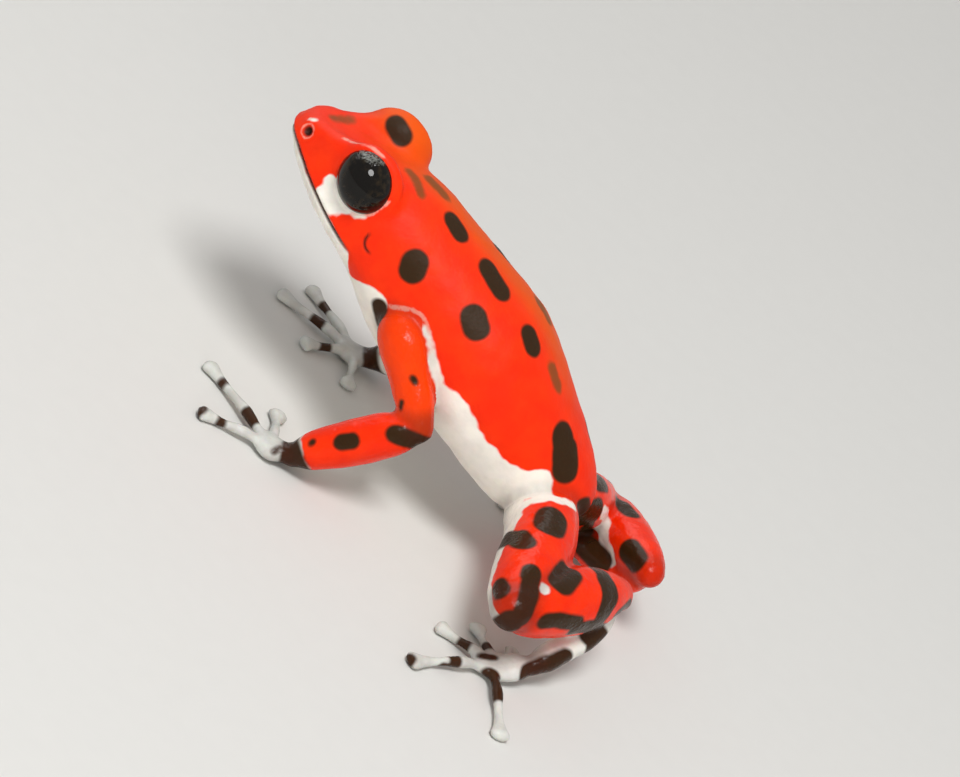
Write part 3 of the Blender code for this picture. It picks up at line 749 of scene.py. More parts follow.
def read_points(mesh):
    """The places of a mesh's points."""
    return read_rows(mesh.vertices, "co", 3)


def write_points(mesh, points):
    """Moves a mesh's points to these places."""
    mesh.vertices.foreach_set("co", points.astype(np.float32).ravel())
    mesh.update()


def read_normals(mesh):
    """The unit normals at a mesh's points."""
    return read_rows(mesh.vertex_normals, "vector", 3)


def read_edges(mesh):
    """The two points at each edge's ends, by number."""
    return read_rows(mesh.edges, "vertices", 2, np.int32)


def relax(points, edges, weight, rounds):
    """Moves each row of values towards the mean of its neighbours' by its weight, several times over.

    The weight is one number, or one for each row.
    """
    total = len(points)
    first, second = edges.T
    count = np.bincount(edges.ravel(), minlength=total)[:, None]
    weight = np.broadcast_to(weight, total)[:, None]
    for _ in range(rounds):
        sums = np.stack([
            np.bincount(first, points[second, axis], total) + np.bincount(second, points[first, axis], total)
            for axis in range(points.shape[1])
        ], axis=1)
        points = points + weight * (sums / count - points)
    return points


def soften(values, edges, voxel):
    """The columns of values, evened out over a reach that doesn't depend on the faces' size."""
    return relax(values, edges, SOFTEN_WEIGHT, round((SOFTEN_REACH / voxel) ** 2))


def refine(mesh, chosen):
    """Halves the faces between the chosen points."""
    form = bmesh.new()
    form.from_mesh(mesh)
    form.edges.ensure_lookup_table()
    both = np.flatnonzero(chosen[read_edges(mesh)].all(axis=1))
    bmesh.ops.subdivide_edges(form, edges=[form.edges[i] for i in both], cuts=1, use_grid_fill=True)
    form.to_mesh(mesh)
    form.free()
    mesh.update()


def mouth_height(points):
    """Height of points over the mouth's line, and how much of the line there is beside them."""
    behind, height, _ = space_to_body(points)
    return height - MOUTH_LEVEL + MOUTH_FALL * behind, 1 - fade(behind, *MOUTH_CORNER)


def eye_place(points, side):
    """Points from an eye's centre along, over and out of it, in radii of a round eye."""
    centre, along, over, gaze = eye_axes(side)
    offset = points - centre
    return np.stack([offset @ along / EYE_LENGTHEN, offset @ over, offset @ gaze], axis=-1)


def lid_edge(place, side):
    """How far out of the eye its lid's edge lies: further on the brow's side, by the squared cosine."""
    _, along, over, _ = eye_axes(side)
    hood = body_direction(*LID_HOOD_SIDE)
    toward = unit(np.array((hood @ along, hood @ over)))
    flat = unit(place[:, :2] + TINY)
    return LID_EDGE + LID_HOOD * np.maximum(flat @ toward, 0) ** 2


def nostril_distance(points, side):
    """Distance from points to the middle of a nostril. side is 1 or -1."""
    behind, height, out = NOSTRIL_AT
    return np.linalg.norm(points - body_to_space(behind, height, side * out), axis=1)


def eardrum_place(points):
    """Points from the nearer eardrum's middle, backward and upward, and how far out to a side they are."""
    behind, height, side = space_to_body(points)
    return np.stack([behind - EARDRUM_AT[0], height - EARDRUM_AT[1]], axis=1), np.abs(side)


def fine_zone(points, radius):
    """Which points lie by the mouth's line, the lids' edges, the nostrils or the eardrums' rims."""
    height, there = mouth_height(points)
    chosen = (np.abs(height) < FINE_REACH) & (there > 0) & (body_depth(points) > -FINE_REACH)
    for side in SIDES.values():
        place = eye_place(points, side)
        gap = np.abs(place[:, 2] - lid_edge(place, side))
        chosen |= (gap < FINE_REACH) & (np.linalg.norm(place, axis=1) < radius + 2 * FINE_REACH)
        chosen |= nostril_distance(points, side) < 2 * FINE_REACH
    from_drum, beside = eardrum_place(points)
    by_rim = np.abs(np.linalg.norm(from_drum, axis=1) - EARDRUM_RADIUS) < FINE_REACH
    return chosen | (by_rim & (beside > EARDRUM_BESIDE[1]))


def fit_lids(points, radius):
    """Shapes the lids round the eyes.

    Outside the lid's edge the skin keeps at least a thin lid's thickness over the eye, and near the
    edge it comes down to that. Inside the edge it sinks below the eye's surface. Both fade out with the
    distance from the eye, so the cheek below it stays as it is.
    """
    for side in SIDES.values():
        place = eye_place(points, side)
        distance = np.linalg.norm(place, axis=1)
        behind_edge = lid_edge(place, side) - place[:, 2]
        inside = (distance < radius + 2 * LID_BLEND) & (place[:, 2] > -LID_BLEND)
        close = 1 - fade(distance, radius + LID_BLEND, radius + 2 * LID_BLEND)
        near = (1 - fade(behind_edge, 0, LID_BLEND)) * close
        wanted = radius + LID_THIN + (LID_RADIUS - radius - LID_THIN) * (1 - near)
        lid = distance + (np.minimum(distance, wanted) - distance) * near
        lid = np.maximum(lid, radius + LID_THIN)
        opened = fade(-behind_edge, -LID_STEP, LID_STEP) * close
        target = lid + (radius - SOCKET_SINK - lid) * opened
        grown = np.where(inside, target / np.maximum(distance, TINY), 1)
        centre = eye_axes(side)[0]
        points = centre + (points - centre) * grown[:, None]
    return points


def eardrum_rim(points):
    """1 on the lower front of an eardrum's rim, and 0 away: a hump of the distance from its circle.
    The groove is cut and the painted shade laid along this part of the rim.
    """
    from_drum, beside = eardrum_place(points)
    rim = hump(np.linalg.norm(from_drum, axis=1) - EARDRUM_RADIUS, EARDRUM_RIM)
    shaded_side = fade(unit(from_drum + TINY) @ np.array(EARDRUM_SHADED_SIDE), *EARDRUM_FADE)
    return rim * shaded_side * fade(beside, *EARDRUM_BESIDE)


def carve_face(points, normals, on_body):
    """Mouth, lips, nostrils and eardrums, as humps and grooves along the skin's normals."""
    height, there = mouth_height(points)
    there = there * on_body
    push = -MOUTH_DEPTH * hump(height, MOUTH_WIDTH) * there
    push += LIP_SWELL * hump(height - LIP_ABOVE, LIP_WIDTH) * there
    push -= EARDRUM_DEPTH * eardrum_rim(points) * on_body
    for side in SIDES.values():
        away = nostril_distance(points, side)
        push -= NOSTRIL_DEPTH * hump(away, NOSTRIL_WIDTH)
        push += NOSTRIL_RIM * hump(away - 2 * NOSTRIL_WIDTH, NOSTRIL_WIDTH)
    return points + normals * push[:, None]


def lumps(points):
    """Low unevenness of living skin.

    It is the mean of the sines of the place along a few slanting waves, each swayed by another's sine.
    """
    waves = np.array(LUMP_WAVES)
    sway = np.sin(points @ waves[::-1].T * LUMP_SWAY)
    return LUMP_HEIGHT * np.sin(points @ waves.T + sway).mean(axis=1)


def line_distance(points, line):
    """Distance from points to the nearest place on a line of points."""
    line = np.array(line, float)
    nearest = np.full(len(points), np.inf)
    for start, end in zip(line, line[1:]):
        way = end - start
        share = np.clip((points - start) @ way / max(way @ way, TINY), 0, 1)
        nearest = np.minimum(nearest, np.linalg.norm(points - start - share[:, None] * way, axis=1))
    return nearest


def marks_field(points, marks):
    """How far points are inside the nearest mark, in millimetres, and below zero outside all of them."""
    return np.max([width - line_distance(points, line) for line, width in marks], axis=0)


def digit_marks(lines):
    """Dark rings round the digits, each a short line along the digit's middle line."""
    marks = []
    for paw, number, share, width in DIGIT_RINGS_DARK:
        centres, onward = lines[f"{paw}_{number}"][:2]
        at = min(round(share * (len(centres) - 1)), len(centres) - 1)
        centre = centres[at] + onward[at] * max(share - 1, 0) * np.linalg.norm(centres[-1] - centres[0])
        marks.append(((centre, centre + onward[at] * SMALLEST_RING), width))
    return tuple(marks)


def face_shade(points, on_body):
    """How much painted shade darkens the mouth's line, the eardrums' rims and the nostrils.

    The first two are humps across their lines. A nostril fades with the distance from its middle.
    """
    groove, there = mouth_height(points)
    shade = hump(groove, MOUTH_SHADE_WIDTH) * there * on_body
    for side in SIDES.values():
        shade = np.maximum(shade, 1 - fade(nostril_distance(points, side), *NOSTRIL_SHADE))
    return np.maximum(shade, eardrum_rim(points) * on_body)


def brow_joint(points):
    """1 where a lid or a brow ridge meets the head and 0 away from there: a hump of the gap between them."""
    depth = body_depth(points)
    joint = np.zeros(len(points))
    for side in SIDES.values():
        centre = eye_axes(side)[0]
        lid = np.linalg.norm(points - centre, axis=1) - LID_RADIUS
        brow = limb_place(points, brow_line(side))[0]
        joint = np.maximum(joint, hump(np.minimum(lid, brow) - depth, BROW_JOINT_WIDTH))
    return joint


def on_left(points):
    """Points with those of the right side moved over to the same place on the left."""
    return np.concatenate([np.abs(points[:, :1]), points[:, 1:]], axis=1)


def pale_field(points, nearest, places):
    """How far points are inside pale skin, in millimetres, and below zero in red skin.

    On the body that is the height under the belly's border. On a limb it is the distance round it
    within the reach of its pale side. A limb without such a side is pale all over, and a forearm is
    pale at its wrist too. nearest names each point's part.
    """
    behind, height, _ = space_to_body(points)
    field = np.interp(behind, *BELLY_BORDER.T) - height
    for name, (_, share, facing, size) in places.items():
        kind, side = name.rsplit("_", 1)
        pale_side = PALE_SIDES.get(name, PALE_SIDES.get(kind))
        inside = PALE_ALL_OVER
        if pale_side:
            root, tip, reach = pale_side
            way = unit(between(unit(root), unit(tip), share[:, None])) * (SIDES[side], 1, 1)
            inside = size * (reach - np.arccos(np.clip((facing * way).sum(1), -1, 1)))
        if kind == "forearm":
            inside = np.maximum(inside, (share - WRIST_SHARE) * FOREARM_LENGTH)
        field = np.where(nearest == name, inside, field)
    # The marks of one side alone hold two painted highlights, before the left nostril and on the left knee's
    # fold
    marks = np.maximum(marks_field(on_left(points), PALE_MARKS), marks_field(points, LONE_PALE_AND_HIGHLIGHT_MARKS))
    return np.maximum(field, marks)


def highlight_rim_field(points):
    """How far points are inside a thin pink rim of painted highlight, in millimetres. Round a nostril it
    is a ring.
    """
    points = on_left(points)
    radius, half = NOSTRIL_HIGHLIGHT_RING
    ring = half - np.abs(nostril_distance(points, SIDES["left"]) - radius)
    return np.maximum(marks_field(points, HIGHLIGHT_RIM_MARKS), ring)


def add_attribute(mesh, name, values):
    """Keeps one number for each point of a mesh, for its material to read."""
    attribute = mesh.attributes.new(name, "FLOAT", "POINT")
    attribute.data.foreach_set("value", values.astype(np.float32))


def to_frame(mesh):
    """Moves a finished mesh from the frog's millimetres into the frame's metres."""
    write_points(mesh, read_points(mesh) * MM + FROG_ORIGIN)


def is_digit(name):
    """Whether a part's name ends in a digit's number."""
    return name[-1].isdigit()


def skin_surfaces(lines):
    """All the closed surfaces that the skin is fused from."""
    grids = [body_surface()]
    for side in SIDES.values():
        grids += [lid_surface(side), brow_surface(side)]
    for name, line in lines.items():
        grids.append(limb_surface(line, DIGIT_SIDES if is_digit(name) else LIMB_SIDES))
    return grids


def even_joints(points, edges, distances, digits, voxel):
    """Points with the joints between parts evened out.

    The weight is a hump of the gap between the distances to the two nearest parts. Digits get less.
    """
    order = np.sort(distances, axis=0)
    joint = hump(order[1] - order[0], JOINT_WIDTH)
    joint = joint * np.where(digits[distances.argmin(axis=0)], DIGIT_JOINT_SHARE, 1)
    joint = np.maximum(joint, brow_joint(points))
    points = relax(points, edges, JOINT_WEIGHT * joint, round((JOINT_REACH / voxel) ** 2))
    return relax(points, edges, SOFTEN_WEIGHT, ALL_OVER_ROUNDS)


def fold_field(distances, edges, voxel):
    """1 in the folds between thick parts and 0 away from them.

    It is a hump of the gap between the distances to the two nearest parts, near their surfaces only.
    """
    order = np.sort(distances, axis=0)
    fold = hump(order[1] - order[0], FOLD_WIDTH) * (1 - fade(np.abs(order[0]), *FOLD_REACH))
    return soften(fold[:, None], edges, voxel)[:, 0]


def colour_zones(points, names, nearest):
    """How far each place is grey paw, wet limb and painted orange, as three columns from 0 to 1.

    The trunk's orange is painted shade, growing with the height over its line and towards the right
    side, turned from the lights. The upper arms' orange is painted sheen, all over them to a share.
    """
    paw = np.array([PAW_GREY.get(name.partition("_")[0], 0.0) for name in names])[nearest]
    _, height, side = space_to_body(points)
    # Painted shade: the back's ridge turns orange where it turns from the lights
    orange = fade(height, *RIDGE_SHADE_HEIGHT) * (1 - fade(side, *RIDGE_SHADE_SIDE)) * (nearest == 0)
    # Painted sheen: the upper arms turn orange all over, to a share
    orange = np.where(np.char.startswith(names[nearest], "upper_arm"), ARM_SHEEN_ORANGE, orange)
    return np.stack([paw, nearest > 0, orange], axis=1)


def add_markings(mesh, points, edges, lines, nearest, voxel):
    """Keeps the marks as distances and the colour zones as shares. nearest numbers each place's part."""
    names = np.array(["body", *lines])
    dark = BODY_MARKS + ARM_MARKS + LEG_MARKS + digit_marks(lines)
    add_attribute(mesh, "dark", marks_field(points, dark))
    add_attribute(mesh, "faint", marks_field(points, FAINT_MARKS))
    # Painted highlights: thin pink rims along the brow, lip, lid and arm's root, and rings round the
    # nostrils
    add_attribute(mesh, "rim", highlight_rim_field(points))
    zones = soften(colour_zones(points, names, nearest), edges, voxel)
    for name, values in zip(("paw", "limb", "ridge"), zones.T):
        add_attribute(mesh, name, values)
    pale = pale_field(points, names[nearest], limb_places(points, lines))
    add_attribute(mesh, "pale", relax(pale[:, None], edges, SOFTEN_WEIGHT, PALE_ROUNDS)[:, 0])


def make_skin_mesh(voxel, radius):
    """The whole skin as one surface, with its markings as attributes. The radius is an eyeball's."""
    lines = limb_lines()
    mesh = fuse(mesh_from_grids("skin", skin_surfaces(lines)), voxel)
    refine(mesh, fine_zone(read_points(mesh), radius))
    points, edges = read_points(mesh), read_edges(mesh)
    places = limb_places(points, lines)
    distances = np.stack([body_depth(points)] + [place[0] for place in places.values()])
    digits = np.array([False] + [is_digit(name) for name in lines])
    nearest = distances.argmin(axis=0)
    on_body = (nearest == 0).astype(float)

    points = even_joints(points, edges, distances, digits, voxel)
    write_points(mesh, points)
    normals = read_normals(mesh)
    fold = fold_field(distances[~digits], edges, voxel)
    points = points + normals * (lumps(points) - FOLD_DEPTH * fold)[:, None]
    points = fit_lids(carve_face(points, normals, on_body), radius)
    points[:, 2] = np.maximum(points[:, 2], 0)
    write_points(mesh, points)

    add_markings(mesh, points, edges, lines, nearest, voxel)
    # Painted shade: the mouth's line, the nostrils, the eardrums' rims and the folds between parts are
    # darkened
    add_attribute(mesh, "shade", np.maximum(face_shade(points, on_body), FOLD_SHADE * fold))
    to_frame(mesh)
    return mesh


def make_eye_mesh(name, look):
    """An eyeball longer along the body, with its iris, tear film and specks of painted reflection as fades.

    The iris fades in with the sine of the angle from the gaze. The film and the specks fade in with the
    cosine of the angle from the brow. name is left or right.
    """
    centre, *axes = eye_axes(SIDES[name])
    ball = ball_surface(look.rings, 2 * look.rings)
    stretched = ball * (EYE_LENGTHEN, 1, 1) * look.radius
    mesh = mesh_from_grids(f"frog_eye_{name}", [centre + stretched @ np.stack(axes)])
    flat = ball.reshape(-1, 3)
    toward_brow = flat @ unit(body_direction(*LID_HOOD_SIDE) @ np.stack(axes).T)
    add_attribute(mesh, "iris", fade(np.hypot(flat[:, 0], flat[:, 1]), *IRIS_FADE))
    add_attribute(mesh, "film", fade(toward_brow, *FILM_FADE))
    # Painted reflection: where the grey specks under the brow lie
    add_attribute(mesh, "glaze", fade(toward_brow, *SPECK_REFLECTION_FADE))
    to_frame(mesh)
    return mesh


def new_material(name, values):
    """A material, its node tree, its shader with these values on its own sockets, and the place on it."""
    material = bpy.data.materials.new(name)
    material.use_nodes = True
    tree = material.node_tree
    shader = tree.nodes["Principled BSDF"]
    for label, value in values.items():
        shader.inputs[label].default_value = value
    return material, tree, shader, add_node(tree, "ShaderNodeTexCoord").outputs["Object"]


def add_node(tree, kind, values=None, **settings):
    """A node with its settings, and its inputs given as values or as sockets to link from."""
    node = tree.nodes.new(kind)
    for name, value in settings.items():
        setattr(node, name, value)
    for name, value in (values or {}).items():
        if isinstance(value, bpy.types.NodeSocket):
            tree.links.new(value, node.inputs[name])
        else:
            node.inputs[name].default_value = value
    return node


def combine(tree, operation, *numbers):
    """The result of a Math node on two or three numbers, each a value or a socket."""
    return add_node(tree, "ShaderNodeMath", dict(enumerate(numbers)), operation=operation).outputs[0]


def carry_over(tree, value, start, end, **settings):
    """A number that goes from 0 where the value is at the start to 1 where it is at the end."""
    return add_node(tree, "ShaderNodeMapRange", {
        "Value": value, "From Min": start, "From Max": end,
    }, **settings).outputs["Result"]


def blend_numbers(tree, share, first, second):
    """A number from the first where the share is 0 to the second where it is 1."""
    return add_node(tree, "ShaderNodeMapRange", {
        "Value": share, "To Min": first, "To Max": second,
    }).outputs["Result"]


def clouds(tree, place, scale, detail):
    """Soft noise between 0 and 1."""
    return add_node(tree, "ShaderNodeTexNoise", {
        "Vector": place, "Scale": scale, "Detail": detail,
    }).outputs["Fac"]


def pebbles(tree, place, scale):
    """The distance to the middle of the nearest of many rounded cells."""
    return add_node(tree, "ShaderNodeTexVoronoi", {
        "Vector": place, "Scale": scale,
    }, feature="SMOOTH_F1").outputs["Distance"]


def attribute(tree, name):
    """The socket that gives an attribute of the mesh."""
    return add_node(tree, "ShaderNodeAttribute", attribute_name=name).outputs["Fac"]


def mix_colours(tree, factor, first, second):
    """A colour between two. The factor is a socket, and each colour is a socket or three numbers."""
    node = tree.nodes.new("ShaderNodeMix")
    node.data_type = "RGBA"
    factor_input, *colour_inputs = [socket for socket in node.inputs if socket.enabled]
    tree.links.new(factor, factor_input)
    for socket, colour in zip(colour_inputs, (first, second)):
        if isinstance(colour, bpy.types.NodeSocket):
            tree.links.new(colour, socket)
        else:
            socket.default_value = (*colour, 1.0)
    return next(socket for socket in node.outputs if socket.enabled)


def add_bump(tree, shader, height, strength, distance):
    """Feeds a height to the shader's normal."""
    bump = add_node(tree, "ShaderNodeBump", {"Height": height, "Strength": strength, "Distance": distance})
    tree.links.new(bump.outputs["Normal"], shader.inputs["Normal"])


def new_group(name, inputs, output):
    """A shader node group that takes a place and named numbers and gives one number, with its two ends."""
    group = bpy.data.node_groups.new(name, "ShaderNodeTree")
    group.interface.new_socket("Place", in_out="INPUT", socket_type="NodeSocketVector")
    for label, default in inputs.items():
        socket = group.interface.new_socket(label, in_out="INPUT", socket_type="NodeSocketFloat")
        socket.default_value = default
    group.interface.new_socket(output, in_out="OUTPUT", socket_type="NodeSocketFloat")
    return group, group.nodes.new("NodeGroupInput").outputs, group.nodes.new("NodeGroupOutput").inputs


def ragged_edge_group():
    """Turns a distance inside a mark into a mask whose edge wanders with noise.

    The mask is the smooth step, over the softness, of the distance plus the noise times the raggedness.
    """
    inputs = {"Distance": 0.0, "Raggedness": 0.1, "Grain": 2000.0, "Softness": 0.04}
    group, given, made = new_group("ragged_edge", inputs, "Mask")
    noise = clouds(group, given["Place"], given["Grain"], EDGE_DETAIL)
    centred = combine(group, "SUBTRACT", noise, 0.5)
    moved = combine(group, "MULTIPLY_ADD", centred, given["Raggedness"], given["Distance"])
    below = combine(group, "MULTIPLY", given["Softness"], -1.0)
    mask = carry_over(group, moved, below, given["Softness"], interpolation_type="SMOOTHSTEP")
    group.links.new(mask, made["Mask"])
    return group


def skin_grain_group():
    """The height of granular skin.

    It is one, less the depth of the small cells and of the warts, which are larger cells, plus fine noise.
    """
    group, given, made = new_group("skin_grain", {"Cells": 6000.0}, "Height")
    small = pebbles(group, given["Place"], given["Cells"])
    warts = pebbles(group, given["Place"], combine(group, "MULTIPLY", given["Cells"], WART_SCALE))
    noise = clouds(group, given["Place"], given["Cells"], GRAIN_DETAIL)
    both = combine(group, "MULTIPLY_ADD", warts, WART_SHARE, small)
    rounded = combine(group, "MULTIPLY_ADD", both, -CELL_DEPTH, 1.0)
    total = combine(group, "MULTIPLY_ADD", noise, FINE_NOISE, rounded)
    group.links.new(total, made["Height"])
    return group


def mark_mask(tree, ragged, place, name):
    """The mask of one kind of mark, from its attribute."""
    raggedness, grain, softness = MARK_EDGES[name]
    return add_node(tree, "ShaderNodeGroup", {
        "Place": place, "Distance": attribute(tree, name), "Raggedness": raggedness,
        "Grain": grain, "Softness": softness,
    }, node_tree=ragged).outputs["Mask"]


def skin_colour(tree, place, look):
    """Red with painted orange shade and sheen, then the pale skin, the marks, the painted highlights of
    the rims and the painted shade of the mouth, nostrils and folds laid over it.
    """
    ragged = ragged_edge_group()
    masks = {name: mark_mask(tree, ragged, place, name) for name in MARK_EDGES}
    paw = attribute(tree, "paw")
    tone = carry_over(tree, clouds(tree, place, *SKIN_CLOUDS), *SKIN_CLOUD_RANGE)
    red = mix_colours(tree, tone, look.red, look.deep_red)
    # Painted shade along the back's ridge and painted sheen on the upper arms, both in orange
    red = mix_colours(tree, attribute(tree, "ridge"), red, look.shade_and_sheen_orange)
    belly = mix_colours(tree, tone, look.belly, look.belly_shadow)
    grey = mix_colours(tree, tone, look.paw, look.paw_shadow)
    colour = mix_colours(tree, masks["pale"], red, mix_colours(tree, paw, belly, grey))
    faint = combine(tree, "MULTIPLY", masks["faint"], look.faintness)
    colour = mix_colours(tree, faint, colour, look.olive)
    # Painted highlights: the thin pink rims laid over the colour
    rim = combine(tree, "MULTIPLY", masks["rim"], look.highlight_rim_strength)
    colour = mix_colours(tree, rim, colour, look.rim)
    black = mix_colours(tree, paw, look.black, look.paw_brown)
    colour = mix_colours(tree, masks["dark"], colour, black)
    # Painted shade laid over the colour in the mouth's line, the nostrils, the eardrums' rims and the folds
    return mix_colours(tree, attribute(tree, "shade"), colour, look.fold)


def make_skin_material(look):
    """Moist granular skin: red with ragged black marks, a pale belly, grey paws and dark folds."""
    material, tree, shader, place = new_material("frog_skin", SKIN_SHADER)
    tree.links.new(skin_colour(tree, place, look), shader.inputs["Base Color"])
    limb = attribute(tree, "limb")
    roughness = blend_numbers(tree, limb, look.roughness, look.limb_roughness)
    tree.links.new(roughness, shader.inputs["Roughness"])
    height = add_node(tree, "ShaderNodeGroup", {
        "Place": place, "Cells": look.grain_per_metre,
    }, node_tree=skin_grain_group()).outputs["Height"]
    height = combine(tree, "MULTIPLY", height, blend_numbers(tree, limb, *LIMB_GRAIN))
    add_bump(tree, shader, height, look.grain_strength, look.grain_height)
    return material


def make_eye_material(look):
    """A glossy black eye: a faint brown iris, grey specks of painted reflection under the brow and an
    uneven tear film.
    """
    material, tree, shader, place = new_material("frog_eye", EYE_SHADER)
    streaks = carry_over(tree, clouds(tree, place, *IRIS_CLOUDS), *IRIS_CLOUD_RANGE)
    iris = combine(tree, "MULTIPLY", streaks, attribute(tree, "iris"))
    colour = mix_colours(tree, iris, look.pupil, look.iris)
    # Painted reflection: grey specks of light under the brow, laid into the eye's colour
    specks = combine(tree, "MULTIPLY", clouds(tree, place, *REFLECTION_SPECKS), attribute(tree, "glaze"))
    colour = mix_colours(tree, carry_over(tree, specks, *REFLECTION_SPECK_RANGE), colour, look.reflection_grey)
    tree.links.new(colour, shader.inputs["Base Color"])
    film = combine(tree, "MULTIPLY", pebbles(tree, place, TEAR_CELLS), attribute(tree, "film"))
    add_bump(tree, shader, film, 1.0, look.film_height)
    return material


def make_floor_material(colour):
    """Smooth matt paper with a faint grain."""
    material, tree, shader, place = new_material("stage_paper", PAPER_SHADER)
    darker = [PAPER_DARKER * part for part in colour]
    paper = mix_colours(tree, clouds(tree, place, *PAPER_CLOUDS), colour, darker)
    tree.links.new(paper, shader.inputs["Base Color"])
    return material


def colour_property(name, description, default):
    """A colour that a user can change."""
    return FloatVectorProperty(
        name=name, description=description, subtype="COLOR", size=3, default=default, min=0.0, max=1.0,
    )


def share_property(name, description, default):
    """A number from 0 to 1 that a user can change."""
    return FloatProperty(
        name=name, description=description, subtype="FACTOR", default=default, min=0.0, max=1.0,
    )


class FrogSkinSettings(bpy.types.PropertyGroup):
    """Sizes and colours of the skin."""

    voxel: FloatProperty(
        name="Face size", description="Edge length of the skin's faces, in millimetres",
        default=0.116, min=0.08, max=0.4, precision=3,
    )
    red: colour_property("Red", "Colour of the back and limbs", (0.95, 0.034, 0.001))
    deep_red: colour_property("Deep red", "Darker patches in the red", (0.88, 0.024, 0.001))
    # Painted shade and sheen: the orange of the back's ridge and of the upper arms
    shade_and_sheen_orange: colour_property("Back orange", "Colour along the back's ridge", (0.80, 0.090, 0.003))
    black: colour_property("Black", "Colour of the marks", (0.034, 0.015, 0.004))
    olive: colour_property("Olive", "Colour of the faint marks", (0.13, 0.065, 0.012))
    faintness: share_property("Faint marks", "How well the faint marks cover the red", 0.8)
    # Painted highlight: the colour of the thin pink rims, and below it how well they cover the red
    rim: colour_property("Rim", "Colour of the thin rims on head and shoulder", (0.90, 0.50, 0.40))
    highlight_rim_strength: share_property("Rim strength", "How well the thin rims cover the red", 0.6)
    belly: colour_property("Belly", "Colour of the pale underside", (0.96, 0.91, 0.82))
    belly_shadow: colour_property("Belly shadow", "Greyer patches of the underside", (0.84, 0.80, 0.72))
    paw: colour_property("Paw", "Colour of the hands and feet", (0.66, 0.67, 0.63))
    paw_shadow: colour_property("Paw shadow", "Greyer patches of the hands and feet", (0.50, 0.49, 0.45))
    paw_brown: colour_property("Paw brown", "Colour of the marks on hands and feet", (0.045, 0.018, 0.008))
    # Painted shade: the colour laid into the mouth's line, the nostrils, the eardrums' rims and the folds
    fold: colour_property("Fold", "Colour in the mouth's line, nostrils and folds", (0.05, 0.012, 0.006))
    roughness: share_property("Roughness", "Roughness of the back's skin", 0.50)
    limb_roughness: share_property("Limb roughness", "Roughness of the wetter skin of the limbs", 0.26)
    grain_per_metre: FloatProperty(
        name="Grain", description="Granules of the skin per metre", default=6500.0, min=500.0, max=20000.0,
    )
    grain_strength: share_property("Grain strength", "How strongly the granules show", 0.7)
    grain_height: FloatProperty(
        name="Grain height", description="Height of the granules", subtype="DISTANCE", unit="LENGTH",
        default=0.00004, min=0.0, max=0.001, precision=6,
    )


class FrogEyeSettings(bpy.types.PropertyGroup):
    """Size and colours of the eyes."""

    radius: FloatProperty(
        name="Radius", description="Radius of an eyeball across its shorter way, in millimetres",
        default=1.19, min=0.5, max=2.0, precision=2,
    )
    rings: IntProperty(
        name="Rings", description="Rings of faces from pole to pole", default=64, min=16, max=128,
    )
    pupil: colour_property("Pupil", "Colour of the eye", (0.006, 0.005, 0.004))
    iris: colour_property("Iris", "Faint colour round the pupil", (0.030, 0.020, 0.010))
    # Painted reflection: the grey of the specks of light under the brow
    reflection_grey: colour_property("Tears", "Colour of the specks of light under the brow", (0.17, 0.175, 0.155))
    film_height: FloatProperty(
        name="Tear film", description="Height of the uneven tears under the brow", subtype="DISTANCE",
        unit="LENGTH", default=0.00005, min=0.0, max=0.001, precision=6,
    )


class FrogStageSettings(bpy.types.PropertyGroup):
    """Colour of the floor and strength of the lights."""

    floor: colour_property("Floor", "Colour of the floor", (0.72, 0.71, 0.68))
    sky: FloatProperty(name="Sky", description="Strength of the light from all round", default=0.42, min=0.0)
    key: FloatProperty(
        name="Key", description="Power of the main light", subtype="POWER", default=0.62, min=0.0,
    )
    fill: FloatProperty(
        name="Fill", description="Power of the side light", subtype="POWER", default=0.45, min=0.0,
    )
    sheen: FloatProperty(
        name="Sheen", description="Power of the light that only shows in gloss", subtype="POWER",
        default=0.5, min=0.0,
    )


class OBJECT_OT_frog_skin(bpy.types.Operator):
    """Build the frog's skin round its solid model"""

    bl_idname = "object.frog_skin"
    bl_label = "Frog Skin"

    def execute(self, context):
        look = context.scene.frog_skin
        voxel = look.voxel
        mesh = make_skin_mesh(voxel, context.scene.frog_eyes.radius)
        mesh.materials.clear()
        mesh.materials.append(make_skin_material(look))
        mesh.shade_smooth()
        skin = new_object("frog_skin", mesh)
        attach(skin, "root")
        flesh = [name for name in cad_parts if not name.startswith("eye")]
        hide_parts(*flesh)
        return {"FINISHED"}


class OBJECT_OT_frog_eyes(bpy.types.Operator):
    """Build the frog's two eyes"""

    bl_idname = "object.frog_eyes"
    bl_label = "Frog Eyes"

    def execute(self, context):
        look = context.scene.frog_eyes
        material = make_eye_material(look)
        for name in SIDES:
            mesh = make_eye_mesh(name, look)
            mesh.materials.append(material)
            mesh.shade_smooth()
            eye = new_object(f"frog_eye_{name}", mesh)
            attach(eye, "root")
            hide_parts(f"eye_{name}")
        return {"FINISHED"}


def view_aim():
    """The place that the camera and the lights look at, in the frame's metres."""
    return Vector(np.array(VIEW_AIM) * MM + FROG_ORIGIN)


def make_floor(colour):
    """A flat square floor."""
    mesh = bpy.data.meshes.new("stage_floor")
    corners = [(x * FLOOR_HALF, y * FLOOR_HALF, 0) for x, y in ((-1, -1), (1, -1), (1, 1), (-1, 1))]
    mesh.from_pydata(corners, [], [(0, 1, 2, 3)])
    mesh.materials.append(make_floor_material(colour))
    return new_object("stage_floor", mesh)


def make_sky(strength):
    """Even white light from all round."""
    world = bpy.data.worlds.new("stage_world")
    world.use_nodes = True
    background = world.node_tree.nodes["Background"]
    background.inputs["Color"].default_value = (1.0, 1.0, 1.0, 1.0)
    background.inputs["Strength"].default_value = strength
    return world


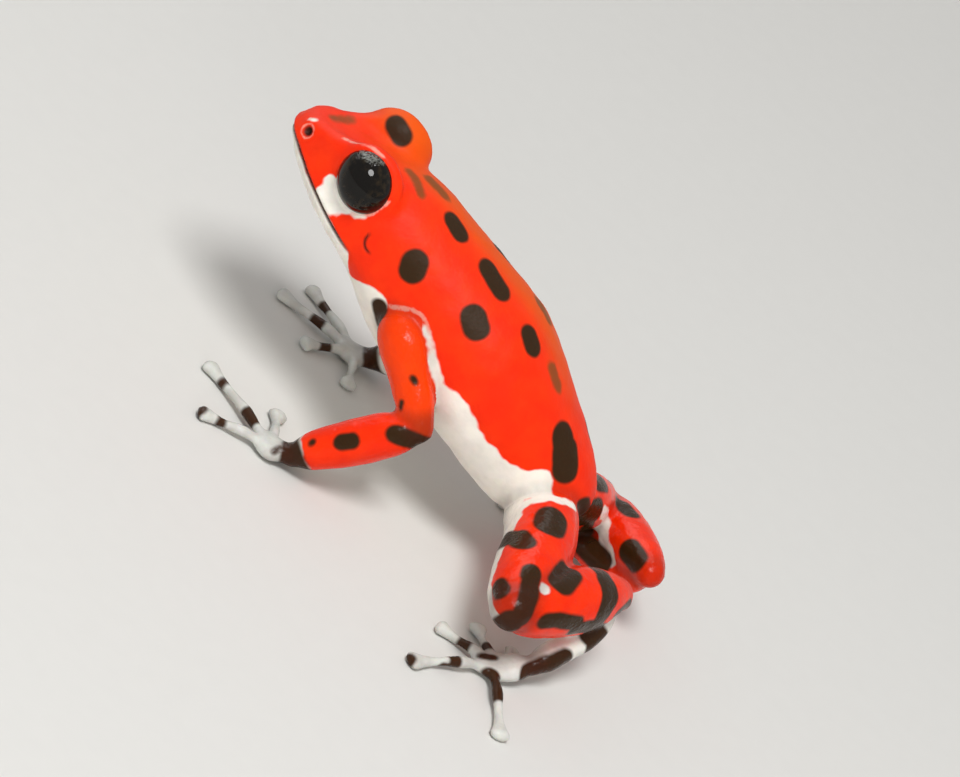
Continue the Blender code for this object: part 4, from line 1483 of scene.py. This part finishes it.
def make_light(name, power):
    """A round soft light that shines on the frog."""
    toward, distance, size, matt, gloss = LIGHTS[name]
    data = bpy.data.lights.new(f"stage_{name}", "AREA")
    data.shape = "DISK"
    data.size = size * MM
    data.energy = power
    light = new_object(f"stage_{name}", data)
    way = Vector(toward).normalized()
    light.location = view_aim() + way * distance * MM
    light.rotation_euler = way.to_track_quat("Z", "Y").to_euler()
    light.visible_diffuse = matt
    light.visible_glossy = gloss
    return light


def make_camera():
    """A camera at the photograph's angle, with the lens that gives its pixels to the millimetre."""
    out = Vector(VIEW_FROM).normalized()
    up = Vector(VIEW_UP)
    up = (up - out * up.dot(out)).normalized()
    data = bpy.data.cameras.new("stage_camera")
    data.sensor_width = SENSOR_WIDTH
    data.lens = PIXELS_PER_MM * VIEW_DISTANCE * SENSOR_WIDTH / PHOTO_WIDTH
    data.clip_start = CLIP_START
    camera = new_object("stage_camera", data)
    turn = Matrix((up.cross(out), up, out)).transposed().to_4x4()
    camera.matrix_world = Matrix.Translation(view_aim() + out * VIEW_DISTANCE * MM) @ turn
    return camera


class OBJECT_OT_frog_stage(bpy.types.Operator):
    """Set the floor, the soft lights and the camera"""

    bl_idname = "object.frog_stage"
    bl_label = "Frog Stage"

    def execute(self, context):
        look = context.scene.frog_stage
        floor = make_floor(look.floor)
        lights = [make_light(name, getattr(look, name)) for name in LIGHTS]
        context.scene.world = make_sky(look.sky)
        context.scene.camera = make_camera()
        context.scene.view_settings.view_transform = "Standard"
        return {"FINISHED"}


class VIEW3D_PT_frog(bpy.types.Panel):
    """The frog's pieces and their settings"""

    bl_label = "Frog"
    bl_space_type = "VIEW_3D"
    bl_region_type = "UI"
    bl_category = "Frog"

    def draw(self, context):
        pieces = (
            (context.scene.frog_skin, FrogSkinSettings, OBJECT_OT_frog_skin),
            (context.scene.frog_eyes, FrogEyeSettings, OBJECT_OT_frog_eyes),
            (context.scene.frog_stage, FrogStageSettings, OBJECT_OT_frog_stage),
        )
        for settings, kind, operator in pieces:
            box = self.layout.box()
            for name in kind.__annotations__:
                box.prop(settings, name)
            box.operator(operator.bl_idname)


CLASSES = (
    FrogSkinSettings,
    FrogEyeSettings,
    FrogStageSettings,
    OBJECT_OT_frog_skin,
    OBJECT_OT_frog_eyes,
    OBJECT_OT_frog_stage,
    VIEW3D_PT_frog,
)


def register():
    """Adds the operators and the panel, and the settings to every scene."""
    for kind in CLASSES:
        bpy.utils.register_class(kind)
    bpy.types.Scene.frog_skin = PointerProperty(type=FrogSkinSettings)
    bpy.types.Scene.frog_eyes = PointerProperty(type=FrogEyeSettings)
    bpy.types.Scene.frog_stage = PointerProperty(type=FrogStageSettings)


def unregister():
    """Takes out what register added."""
    del bpy.types.Scene.frog_stage
    del bpy.types.Scene.frog_eyes
    del bpy.types.Scene.frog_skin
    for kind in reversed(CLASSES):
        bpy.utils.unregister_class(kind)


def main():
    """Builds every piece."""
    register()
    bpy.ops.object.frog_skin()
    bpy.ops.object.frog_eyes()
    bpy.ops.object.frog_stage()


if __name__ == "__main__":
    main()
